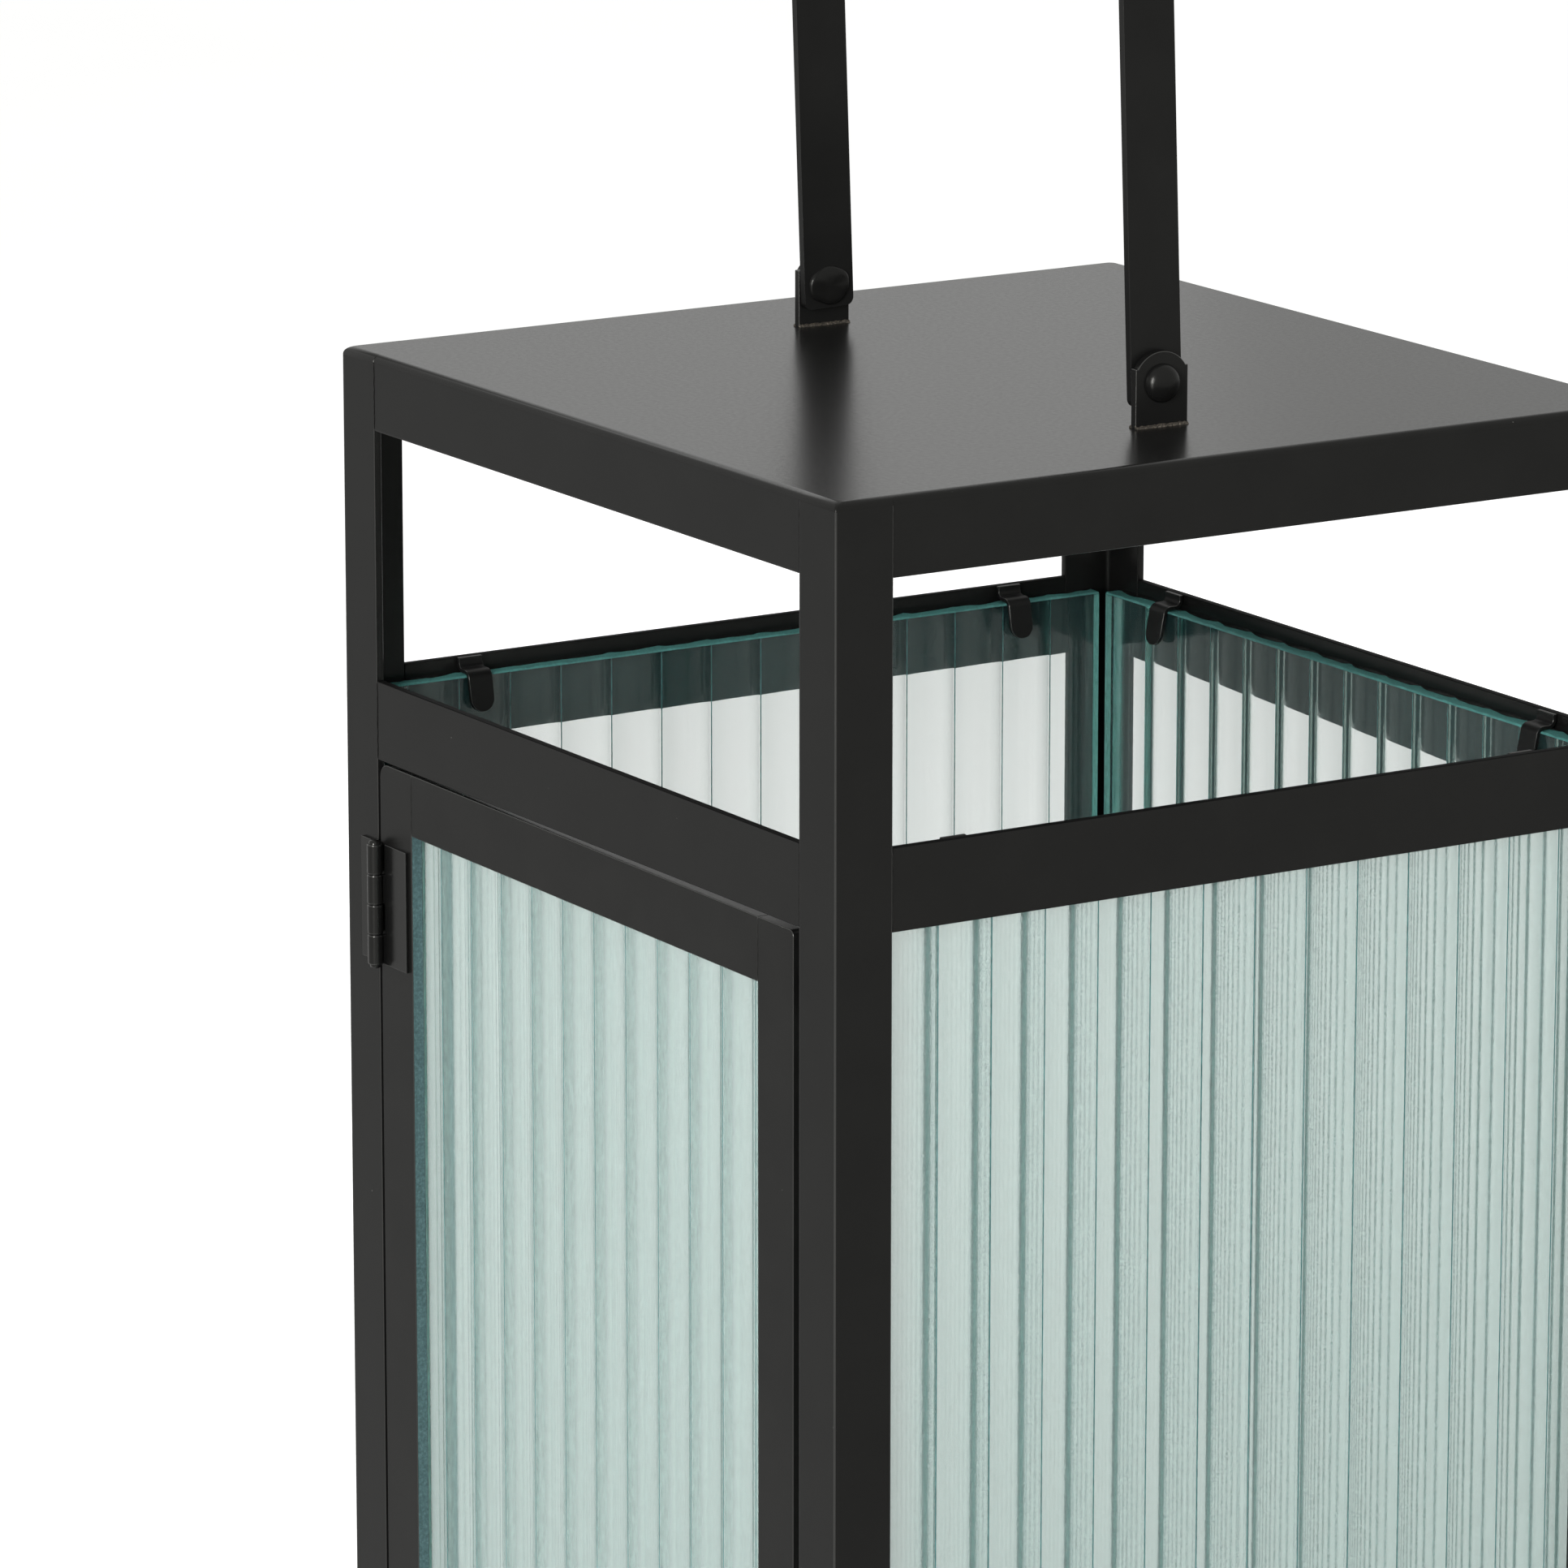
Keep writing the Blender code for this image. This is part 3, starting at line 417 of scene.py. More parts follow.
def strip(stations, thickness):
    """A bent flat bar: stations of (x, z, half width) along its middle, with its width along Y."""
    rings = []
    for i, (x, z, half) in enumerate(stations):
        before = stations[max(i - 1, 0)]
        after = stations[min(i + 1, len(stations) - 1)]
        into = Vector((x - before[0], z - before[1]))
        out = Vector((after[0] - x, after[1] - z))
        into = into.normalized() if into.length else out.normalized()
        out = out.normalized() if out.length else into
        along = (into + out).normalized()
        side = Vector((-along.y, along.x)) * (thickness / 2 / max(along.dot(into), 0.3))
        corners = ((side, -half), (side, half), (-side, half), (-side, -half))
        rings.append([(x + s.x, y, z + s.y) for s, y in corners])
    return bridge(bmesh.new(), rings)


def round_end(length, half, steps):
    """(distance from the tip, half width) for a bar whose end is a half circle."""
    first = 8
    turns = [radians(first + (90 - first) * k / steps) for k in range(steps + 1)]
    reach = [half * (1 - cos(t)) for t in turns]
    return [(d, sqrt(max(half ** 2 - (half - d) ** 2, 0))) for d in reach if d < length]


def tip_stations(tip, towards, half):
    """Stations of a bar's round end, from the bar to its tip."""
    along = (Vector(towards) - tip).normalized()
    spots = [(tip + along * distance, wide) for distance, wide in reversed(round_end(CLIP_TIP, half, 7))]
    return [(spot.x, spot.y, wide) for spot, wide in spots]


def on_side(side, u=0.0, v=0.0, z=0.0):
    """Matrix that places what is drawn at the origin at (u, v, z) on a side."""
    return Matrix.Rotation(radians(90) * side, 4, "Z") @ Matrix.Translation((u, v - HALF, z))


# ---------------------------------------------------------------- piece helpers
def piece(name, bm, material, body, slot, replaces=(), place=None, soften=0.0, steps=2, crease=35,
          rubbed=True):
    """Makes the mesh a named piece that rides on a body and stands for CAD nodes."""
    if place:
        bm.transform(place)
    bmesh.ops.recalc_face_normals(bm, faces=bm.faces)
    mesh = bpy.data.meshes.new(name)
    bm.to_mesh(mesh)
    bm.free()
    mesh.materials.append(material)
    obj = bpy.data.objects.new(name, mesh)
    bpy.context.scene.collection.objects.link(obj)
    mesh.shade_smooth()
    if soften:
        bevel = obj.modifiers.new("broken_edges", "BEVEL")
        # the bevels take the lighter, glossier coat: a painted highlight along the edges
        if rubbed:
            mesh.materials.append(bpy.data.materials[EDGE_HIGHLIGHT_COAT])
            bevel.material = 1
        bevel.width = soften
        bevel.segments = steps
        bevel.limit_method = "ANGLE"
        bevel.angle_limit = radians(crease)
        bevel.harden_normals = True
    else:
        mesh.set_sharp_from_angle(angle=radians(crease))
    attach(obj, body)
    if replaces:
        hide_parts(*replaces)
    return obj


def steel_piece(node, bm, material, body="frame", slot="frame_coat", **options):
    """A piece that stands for one CAD node, named after it."""
    return piece(node + "_finished", bm, material, body, slot, replaces=(node,), **options)


def weld_line(name, points, outward, material, body, slot, width=0.00032, height=0.00010, seed=0):
    """A thin uneven bead along a line of points on a face."""
    spacing = 0.0006
    length = (points[-1] - points[0]).length
    count = max(int(length / spacing), 6)
    rings = []
    for k in range(count + 1):
        along = k / count * (len(points) - 1)
        i = min(int(along), len(points) - 2)
        spot = points[i].lerp(points[i + 1], along - i)
        direction = (points[i + 1] - points[i]).normalized()
        across = direction.cross(outward).normalized()
        wobble = noise.noise(Vector((seed * 7.3, along * length * 900 / len(points), 0)))
        swell = 1 + 0.5 * noise.noise(Vector((seed * 3.1, k * 0.37, 5)))
        taper = min(1, k / 3, (count - k) / 3) * 0.8 + 0.2
        spot = spot + across * wobble * width * 0.35
        half = width / 2 * swell * taper
        rise = height * swell * taper
        shape = ((-half, -rise), (-half * 0.7, rise * 0.5), (0, rise),
                 (half * 0.7, rise * 0.5), (half, -rise))
        rings.append([spot + across * a + outward * b for a, b in shape])
    return piece(name, bridge(bmesh.new(), rings), material, body, slot, crease=80)


# ---------------------------------------------------------------- frame
def square_ring(half, corner, recess, z, steps=6):
    """Plan outline of the plate: round corners, and sides that lie `recess` behind them."""
    ring = []
    for side in range(4):
        turn = Matrix.Rotation(radians(90) * side, 2)
        points = arc(half - corner, -half + corner, corner, -90, 0, steps)
        points = [(POST_EDGE, -half + recess), (POST_EDGE + SEAM_STEP, -half), *points]
        points.append((half, -POST_EDGE - SEAM_STEP))
        points.append((half - recess, -POST_EDGE))
        ring += [(*(turn @ Vector(p)), z) for p in points]
    return ring


def build_top_plate(coat):
    bm = bmesh.new()
    rings = [square_ring(HALF, POST_ROUND, SEAM_STEP, TOP - SHEET)]
    for k in range(RIM_STEPS + 1):
        turn = radians(90) * k / RIM_STEPS
        inset = RIM_ROUND * (1 - cos(turn))
        height = TOP - RIM_ROUND + RIM_ROUND * sin(turn)
        rings.append(square_ring(HALF - inset, POST_ROUND + inset * 0.9, SEAM_STEP, height))
    flat = HALF - RIM_ROUND - CUT_ROUND
    rings.append(square_ring(flat, POST_ROUND + RIM_ROUND, SEAM_STEP, TOP))
    bridge(bm, rings)
    low = PLATE_LOW.z
    folded = [(SEAM_STEP, low + 2 * CUT_ROUND), (SEAM_STEP, low + CUT_ROUND),
              (SEAM_STEP + CUT_ROUND * 0.3, low + CUT_ROUND * 0.3), (SEAM_STEP + CUT_ROUND, low),
              (SHEET, low), (SHEET, TOP - SHEET), (SEAM_STEP, TOP - SHEET)]
    for side in range(4):
        edge = extrude(folded, -POST_EDGE, POST_EDGE, "X")
        edge.transform(on_side(side))
        join(bm, edge)
    steel_piece("top_plate", bm, coat, crease=30)


def build_base_tray(coat):
    low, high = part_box("base_tray")
    bm = bmesh.new()
    inner = HALF - SHEET
    corner = [(inner, -POST_EDGE), (inner, -inner), (POST_EDGE, -inner)]
    outline = []
    for side in range(4):
        turn = Matrix.Rotation(radians(90) * side, 2)
        outline += [tuple(turn @ Vector(p)) for p in reversed(corner)]
    extrude(outline, low.z, low.z + SHEET, bm=bm)
    fold = arc(SEAM_STEP + RIM_ROUND, RIM_ROUND, RIM_ROUND, 270, 180, RIM_STEPS)
    lip = arc(SEAM_STEP + CUT_ROUND, high.z - CUT_ROUND, CUT_ROUND, 180, 90, 3)
    for side in range(4):
        edge = extrude([*fold, *lip, (SHEET, high.z), (SHEET, 0)], -POST_EDGE, POST_EDGE, "X")
        edge.transform(on_side(side))
        join(bm, edge)
    steel_piece("base_tray", bm, coat, crease=30)


def build_posts(coat):
    leg = HALF - POST_EDGE
    cut = CUT_ROUND
    outline = [(2 * POST_ROUND, 0), *arc(POST_ROUND, POST_ROUND, POST_ROUND, 270, 180, 5),
               (0, 2 * POST_ROUND), (0, leg - 2 * cut),
               *arc(cut, leg - cut, cut, 180, 90, 3), *arc(SHEET - cut, leg - cut, cut, 90, 0, 3),
               *arc(SHEET + ROOT_FILLET, SHEET + ROOT_FILLET, ROOT_FILLET, 180, 270, 4),
               *arc(leg - cut, SHEET - cut, cut, 90, 0, 3), *arc(leg - cut, cut, cut, 0, -90, 3),
               (leg - 2 * cut, 0)]
    corners = ("front_left", "front_right", "back_right", "back_left")
    for side, corner in enumerate(corners):
        post = steel_piece("post_" + corner, extrude(outline, 0, TOP - SHEET), coat,
                           place=on_side(side, -HALF), crease=30)
        # the posts' rounded outer corners take the lighter, glossier coat: a painted highlight line down
        # each corner
        post.data.materials.append(bpy.data.materials[EDGE_HIGHLIGHT_COAT])
        for face in post.data.polygons:
            outwards = face.normal.to_2d().dot(face.center.to_2d()) > 0
            slanted = min(abs(face.normal.x), abs(face.normal.y)) > 0.1
            face.material_index = int(slanted and outwards)


def build_rails(coat, cut_edge):
    """Flat bars between the posts, a hair behind the posts' faces, with dull sawn edges."""
    half = POST_EDGE
    outline = [(-half, SEAM_STEP), (half, SEAM_STEP), (half, SHEET), (-half, SHEET)]
    for side, where in enumerate(SIDES):
        rail = steel_piece("upper_rail_" + where, extrude(outline, RAIL_LOW.z, RAIL_HIGH.z), coat,
                           place=on_side(side), soften=BAR_ROUND, rubbed=False)
        rail.data.materials.append(cut_edge)
        for face in rail.data.polygons:
            face.material_index = int(abs(face.normal.z) > 0.9)
        rail.modifiers["broken_edges"].material = 1


def build_stops(coat):
    for where in ("lower", "upper"):
        node = "door_stop_" + where
        low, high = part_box(node)
        jog = POST_EDGE + STOP_JOG
        back = high.y - STOP_THICK / 2 + HALF
        front = low.y + STOP_THICK / 2 + HALF
        line = [(low.x, back), (POST_EDGE - 2 * STOP_EASE, back),
                (POST_EDGE + STOP_EASE, back - STOP_EASE), (jog, front + STOP_EASE),
                (jog + 3 * STOP_EASE, front), (high.x, front)]
        bm = strip([(x, y, STOP_HALF) for x, y in line], STOP_THICK)
        middle = (low.z + high.z) / 2
        lay = Matrix(((1, 0, 0, 0), (0, 0, 1, -HALF), (0, 1, 0, middle), (0, 0, 0, 1)))
        steel_piece(node, bm, coat, slot="clip_steel", place=lay, soften=SMALL_ROUND)


# ---------------------------------------------------------------- glass
def flute_depth(u, first_ridge):
    """How far the hollow flutes lie behind the ridges, with the ridges slightly blunted."""
    swing = asin(FLUTE_PITCH / 2 / FLUTE_RADIUS)
    ridge = FLUTE_RADIUS * cos(swing)
    middle = first_ridge + (floor((u - first_ridge) / FLUTE_PITCH) + 0.5) * FLUTE_PITCH
    depth = sqrt(FLUTE_RADIUS ** 2 - (u - middle) ** 2) - ridge
    return max(depth, RIDGE_ROUND * RIDGE_DEPTH)


def pane_mesh(half, first_ridge, low, high, thick, seed):
    """A pane in side coordinates: u across, v from its outer face, z up, with hand-cut edges."""
    first = ceil((-half - first_ridge) / FLUTE_PITCH) - 1
    last = floor((half - first_ridge) / FLUTE_PITCH) + 1
    edge = RIDGE_ROUND / FLUTE_PITCH
    shares = [edge, *[k / FLUTE_STEPS for k in range(1, FLUTE_STEPS)], 1 - edge]
    stations = [first_ridge + (k + s) * FLUTE_PITCH for k in range(first, last) for s in shares]
    clear = 0.0005
    inside = [u for u in stations if -half + clear < u < half - clear]
    front = [-half, *inside, half]

    def ragged(u, v):
        return GLASS_BREAK * noise.noise(Vector((u * 260, v * 260 + seed * 9.1, seed)))

    levels = (low, low + GLASS_CUT, high - GLASS_CUT, high)
    rings = []
    for z in levels:
        at_end = z in (low, high)
        inset = GLASS_BREAK if at_end else 0.0
        ring = [(u, flute_depth(u, first_ridge) + inset) for u in front]
        ring += [(u, thick - inset) for u in reversed(front)]
        rings.append([(u, v, z + (ragged(u, v) if at_end else 0)) for u, v in ring])
    return bridge(bmesh.new(), rings)


def dull_edges(obj, frosted, ridged):
    """The pane's cut edges are ground, and the ridges between its flutes are rubbed dull."""
    obj.data.materials.append(frosted)
    obj.data.materials.append(ridged)
    for face in obj.data.polygons:
        points = [obj.data.vertices[v].co for v in face.vertices]
        tall = max(p.z for p in points) - min(p.z for p in points)
        wide = max((p - points[0]).to_2d().length for p in points)
        outwards = face.normal.to_2d().dot(face.center.to_2d()) > 0
        if abs(face.normal.z) > 0.3 and tall < 0.002:
            face.material_index = 1
        elif tall > 0.1 and wide > 0.003:
            face.material_index = 1
        elif tall > 0.1 and wide < 3 * RIDGE_ROUND and outwards:
            face.material_index = 2


def build_panes(glasses, frosted, ridged):
    for side, where in enumerate(SIDES[1:], start=1):
        node = "pane_" + where
        low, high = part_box(node)
        if side % 2:
            half, thick = high.y, high.x - low.x
            inset = HALF - max(abs(low.x), abs(high.x))
        else:
            half, thick = high.x, high.y - low.y
            inset = HALF - max(abs(low.y), abs(high.y))
        bm = pane_mesh(half, RIDGE_AT[where], low.z, high.z, thick, side)
        pane = steel_piece(node, bm, glasses[where], slot="reeded_glass", place=on_side(side, 0, inset),
                           crease=25)
        dull_edges(pane, frosted, ridged)


def clip_path(back_face):
    """Clip over a pane's edge, with x inwards from the bar's face and z up from the pane's edge."""
    over = CLIP_GAP + CLIP_THICK / 2
    inner = back_face + over
    start = [(over, over + CLIP_FOOT), (over, over + CLIP_FOOT - CLIP_FOOT_BAR)]
    first = arc(over + CLIP_BEND, over + CLIP_BEND, CLIP_BEND, 180, 270, 5)
    second = arc(inner - CLIP_BEND, over - CLIP_BEND, CLIP_BEND, 90, 0, 5)
    stations = [(x, z, CLIP_HALF) for x, z in start + first + second]
    tip = Vector((inner + CLIP_LEAN, over - CLIP_REACH))
    return stations + tip_stations(tip, second[-1], CLIP_HALF)


def tab_path():
    """Angle tab on the tray, with x inwards from the pane's back and z up from the tray."""
    bend = arc(TAB_MID + TAB_BEND, TAB_MID + TAB_BEND, TAB_BEND, 270, 180, 4)
    path = [(TAB_REACH, TAB_MID), (2 * TAB_BEND, TAB_MID), *bend]
    tip = Vector((TAB_MID + CLIP_LEAN, TAB_HEIGHT))
    return [(x, z, CLIP_HALF) for x, z in path] + tip_stations(tip, path[-1], CLIP_HALF)


def build_clips(coat):
    """Each clip lies where its CAD node is; the lower ones of the fixed panes are angle tabs."""
    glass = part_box("pane_right")
    pane_back = glass[1].x - glass[0].x + CLIP_GAP
    inwards = Matrix.Rotation(radians(90), 4, "Z")
    for side, where in enumerate(SIDES):
        on_door = where == "front"
        name = "door" if on_door else where
        body = "door" if on_door else "frame"
        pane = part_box("door_pane" if on_door else "pane_" + where)
        bar = DOOR_BAR if on_door else SHEET
        for level, end in ((lv, e) for lv in ("upper", "lower") for e in "ab"):
            node = f"clip_{name}_{level}_{end}"
            low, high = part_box(node)
            centre = Matrix.Rotation(radians(-90) * side, 4, "Z") @ ((low + high) / 2)
            if level == "lower" and not on_door:
                place = on_side(side, centre.x, SHEET + pane_back, SHEET) @ inwards
                bm = strip(tab_path(), CLIP_THICK)
            else:
                flip = Matrix.Rotation(radians(180) * (level == "lower"), 4, "X")
                edge = pane[1].z if level == "upper" else pane[0].z
                place = on_side(side, centre.x, bar, edge) @ inwards @ flip
                bm = strip(clip_path(pane_back), CLIP_THICK)
            steel_piece(node, bm, coat, body, "clip_steel", place=place, soften=SMALL_ROUND)


# ---------------------------------------------------------------- door
def build_door(coat, glass_reflection_paint, glass, frosted, ridged):
    stiles = {name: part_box("door_stile_" + name) for name in ("left", "right")}
    face, back = stiles["left"][0].y, stiles["left"][1].y
    bar = stiles["left"][1].x - stiles["left"][0].x
    low, high = stiles["left"][0].z, stiles["left"][1].z
    left_edge, right_edge = stiles["left"][0].x, stiles["right"][1].x

    def sagged(u, z):
        """The upper bar runs down a little towards the latch side."""
        share = (u - left_edge) / (right_edge - left_edge)
        return z + (DOOR_RISE - DOOR_SAG * share) * (z > (low + high) / 2)

    def bar_piece(node, outline):
        outline = [(u, sagged(u, z)) for u, z in outline]
        return steel_piece(node, extrude(outline, face, back, "Y"), coat, "door", "door_coat",
                           soften=BAR_ROUND)

    for name, sign, outer in (("left", -1, left_edge), ("right", 1, right_edge)):
        corner = DOOR_CORNERS[name]
        centre = outer - sign * corner
        inner = outer - sign * bar
        turn = arc(0, 0, corner, 0, 90, 6)
        top = [(centre + sign * a, high - corner + b) for a, b in turn]
        bottom = [(centre + sign * a, low + corner - b) for a, b in reversed(turn)]
        stile = bar_piece("door_stile_" + name, [*bottom, *top, (inner, high), (inner, low)])
        # the stile's inner wall beside the pane gets a painted sea-green reflection of the glass
        stile.data.materials.append(glass_reflection_paint)
        for wall in stile.data.polygons:
            if wall.normal.x * sign < -0.9 and abs(wall.center.x - inner) < BAR_ROUND:
                wall.material_index = 2
    inner_left, inner_right = left_edge + bar, right_edge - bar
    for name, z in (("bottom", low), ("top", high - bar)):
        corners = [(inner_left, z), (inner_right, z), (inner_right, z + bar), (inner_left, z + bar)]
        bar_piece("door_rail_" + name, corners)
    pane_low, pane_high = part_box("door_pane")
    middle = (pane_low.x + pane_high.x) / 2
    bm = pane_mesh(pane_high.x - middle, RIDGE_AT["door"] - middle, pane_low.z, pane_high.z,
                   pane_high.y - pane_low.y, 4)
    pane = steel_piece("door_pane", bm, glass, "door", "reeded_glass",
                       place=Matrix.Translation((middle, pane_low.y, 0)), crease=25)
    dull_edges(pane, frosted, ridged)
    for name, sign, u in (("left", -1, inner_left), ("right", 1, inner_right)):
        for where, z in (("top", high - bar), ("bottom", low)):
            ends = [Vector((u, -HALF, sagged(u, h))) for h in (z + 0.0006, z + bar - 0.0006)]
            weld_line(f"weld_door_{where}_{name}", ends, Vector((0, -1, 0)), coat, "door", "door_coat",
                      seed=sign + z * 10)


def knuckle_profile(low, high):
    """A hinge's knuckle, with its two rims rounded."""
    end = BARREL - BARREL_SOFT
    return [(0, low), (end, low), (BARREL, low + BARREL_SOFT),
            (BARREL, high - BARREL_SOFT), (end, high), (0, high)]


def leaf_outline(width, length, own):
    """A leaf beside the pin's line, running up to its own knuckles and clear of the others."""
    knuckle = length / KNUCKLES
    bottom, top = -length / 2, length / 2
    outline = [(width, bottom), (width, top)]
    for k in reversed(range(KNUCKLES)):
        start, stop = bottom + k * knuckle, bottom + (k + 1) * knuckle
        x = LEAF_ROOT if k in own else BARREL + KNUCKLE_PLAY
        inset = KNUCKLE_PLAY / 2 if k in own else -KNUCKLE_PLAY / 2
        outline += [(x, stop - inset * (k < KNUCKLES - 1)), (x, start + inset * (k > 0))]
    return outline


def build_hinges(coat):
    axis = AXES["door_hinge"]
    play = KNUCKLE_PLAY / 3
    for where in ("lower", "upper"):
        leaf_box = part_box(f"hinge_{where}_door_leaf")
        length = leaf_box[1].z - leaf_box[0].z
        middle = (leaf_box[1].z + leaf_box[0].z) / 2
        place = Matrix.Translation((axis.x, axis.y, middle))
        knuckle = length / KNUCKLES
        kinds = (("post_leaf", -1, (1, 3), "frame", "frame_coat"),
                 ("door_leaf", 1, (0, 2), "door", "door_coat"))
        for kind, direction, own, body, slot in kinds:
            node = f"hinge_{where}_{kind}"
            low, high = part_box(node)
            width = abs((high.x if direction > 0 else low.x) - axis.x)
            outline = [(direction * a, b) for a, b in leaf_outline(width, length, own)]
            bm = extrude(outline, LEAF_FRONT, LEAF_BACK, "Y")
            bm.transform(place)
            for k in own:
                start = -length / 2 + k * knuckle + play * (k > 0)
                stop = -length / 2 + (k + 1) * knuckle - play * (k < KNUCKLES - 1)
                barrel = turned(knuckle_profile(start, stop), 40)
                barrel.transform(place)
                join(bm, barrel)
            steel_piece(node, bm, coat, body, slot, soften=LEAF_ROUND)
        low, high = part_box(f"hinge_{where}_pin")
        reach = (high.z - low.z) / 2
        rounded = [(PIN_HEAD, length / 2), (PIN_HEAD * 0.9, reach - 0.0004),
                   (PIN_HEAD * 0.55, reach - 0.0001), (0, reach)]
        profile = [(radius, -z) for radius, z in reversed(rounded)] + rounded
        steel_piece(f"hinge_{where}_pin", turned(profile, 32), coat, place=place, crease=50)


def build_latch(hardware):
    axis = AXES["latch_turn"]
    knob_low, knob_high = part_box("latch_knob")
    radius = (knob_high.x - knob_low.x) / 2
    length = knob_high.y - knob_low.y
    crown = arc(0, 0, 1, 90, 0, 6)
    profile = [(0, -length)]
    rim = 1 - KNOB_FACE
    profile += [(radius * (KNOB_FACE + rim * a), -length + KNOB_CROWN * (1 - b)) for a, b in crown]
    neck = ((1, 0.0055), (0.97, 0.0050), (0.64, 0.0040), (0.58, 0.0030), (0.58, 0.0014), (0.66, 0.0008),
            (0.80, 0.0005), (0.80, 0), (0, 0))
    profile += [(radius * share, -z) for share, z in neck]
    aim = Matrix.Rotation(radians(-90), 4, "X")
    place = Matrix.Translation((axis.x, knob_high.y, axis.z)) @ aim
    steel_piece("latch_knob", turned(profile, 64), hardware, "latch", "latch_hardware",
                place=place, crease=40)

    low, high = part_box("latch_spindle")
    end = high.y - low.y
    profile = [(0, 0), (SPINDLE, 0), (SPINDLE, end - WASHER_LOW), (WASHER, end - WASHER_LOW),
               (WASHER, end - WASHER_HIGH), (0.0028, end - 0.0004), (0.0018, end - 0.0001), (0, end)]
    place = Matrix.Translation((axis.x, low.y, axis.z)) @ aim
    steel_piece("latch_spindle", turned(profile, 32), hardware, "latch", "latch_hardware",
                place=place, crease=40)

    low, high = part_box("latch_tongue")
    half = (high.x - low.x) / 2
    corner = half / 2
    outline = [*arc(0, low.z + half, half, 180, 360, 10), *arc(corner, high.z - corner, corner, 0, 90, 4),
               *arc(-corner, high.z - corner, corner, 90, 180, 4)]
    outline = [(u + axis.x, z) for u, z in outline]
    steel_piece("latch_tongue", extrude(outline, low.y, high.y, "Y"), hardware, "latch", "latch_hardware",
                soften=TONGUE_ROUND)


# ---------------------------------------------------------------- carrying handle
def handle_line(height=0.0):
    """Matrix for what is drawn about the X axis: it lies along the handle's pivot line."""
    return Matrix.Translation((PIVOT.x, PIVOT.y, height)) @ HANDLE_YAW


def build_lugs(coat, weld):
    half, top = LUG_HALF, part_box("handle_lug_right")[1].z
    shoulder = TOP + LUG_SIDES
    rise = top - shoulder
    chord = half - LUG_SHOULDER
    radius = (chord ** 2 + rise ** 2) / (2 * rise)
    swing = asin(chord / radius) * 180 / pi
    crown = arc(0, top - radius, radius, 90 - swing, 90 + swing, 16)
    outline = [(-half, TOP), (half, TOP), (half, shoulder), *crown, (-half, shoulder)]
    for where, sign in (("left", -1), ("right", 1)):
        inner, outer = sign * (LUG_FACE - SHEET), sign * LUG_FACE
        steel_piece("handle_lug_" + where, extrude(outline, inner, outer, "X"), coat,
                    place=handle_line(), soften=SMALL_ROUND)
        for face, x, lean in (("outer", outer, sign), ("inner", inner, -sign)):
            rings = []
            steps = 40
            for k in range(steps + 1):
                y = half * (2 * k / steps - 1)
                size = WELD_SIZE * (1 + 0.5 * noise.noise(Vector((x * 50, k * 0.6, 2.0))))
                shape = ((-0.4, -0.4), (-0.4, 1.0), (0.35, 0.75), (0.8, 0.3), (1.2, -0.4))
                rings.append([(x + lean * size * a, y, TOP + size * b) for a, b in shape])
            piece(f"weld_lug_{where}_{face}", bridge(bmesh.new(), rings), weld, "frame", "frame_coat",
                  place=handle_line(), crease=80)


def build_handle(coat):
    side = BAR_FACE + SHEET / 2
    top = HANDLE_TOP - SHEET / 2
    corner = arc(HANDLE_HALF - HANDLE_CORNER, HANDLE_CORNER - HANDLE_END, HANDLE_CORNER, -90, 0, 8)
    left = [(-side, z, wide) for wide, z in corner]
    bend_left = arc(-side + HANDLE_BEND, top - HANDLE_BEND, HANDLE_BEND, 180, 90, 16)
    bend_right = arc(side - HANDLE_BEND, top - HANDLE_BEND, HANDLE_BEND, 90, 0, 16)
    bends = [(x, z, HANDLE_HALF) for x, z in bend_left + bend_right]
    right = [(side, z, wide) for wide, z in reversed(corner)]
    steel_piece("handle", strip(left + bends + right, SHEET), coat, "handle", "handle_coat",
                place=handle_line(PIVOT.z) @ Matrix.Rotation(HANDLE_LEAN, 4, "X"),
                soften=HANDLE_ROUND, steps=4)


def build_rivets(coat):
    """Domed head outside each lug, and a hammered tail inside the handle's bar."""
    hammered = ((0.4, 0.02), (0.7, 0.08), (0.86, 0.2), (0.95, 0.45), (1, 1.05))
    dome = [(RIVET_HEAD * a, LUG_FACE + RIVET_RISE * b) for a, b in arc(0, 0, 1, 0, 90, 12)]
    low = BAR_FACE - RIVET_TAIL_THICK
    profile = [(0, low)]
    profile += [(RIVET_TAIL * share, low + RIVET_TAIL_THICK * depth) for share, depth in hammered]
    profile += [(RIVET_SHANK, BAR_FACE + RIVET_PLAY), (RIVET_SHANK, LUG_FACE - RIVET_PLAY)]
    profile += [(RIVET_HEAD, LUG_FACE - RIVET_PLAY), *dome]
    for where, sign in (("left", -1), ("right", 1)):
        bm = turned(profile, 56)
        for vert in bm.verts:
            if vert.co.z < BAR_FACE + 2 * RIVET_PLAY:
                spot = Vector((vert.co.x * 300, vert.co.y * 300, sign * 4.0))
                spread = 1 + 0.12 * noise.noise(Vector((vert.co.x * 220, vert.co.y * 220, sign * 9.0)))
                vert.co.x *= spread * 0.93
                vert.co.y *= spread * 1.07
                vert.co.z += 0.00025 * noise.noise(spot)
        place = handle_line(PIVOT.z) @ Matrix.Rotation(radians(90) * sign, 4, "Y")
        steel_piece("handle_rivet_" + where, bm, coat, place=place, crease=50)


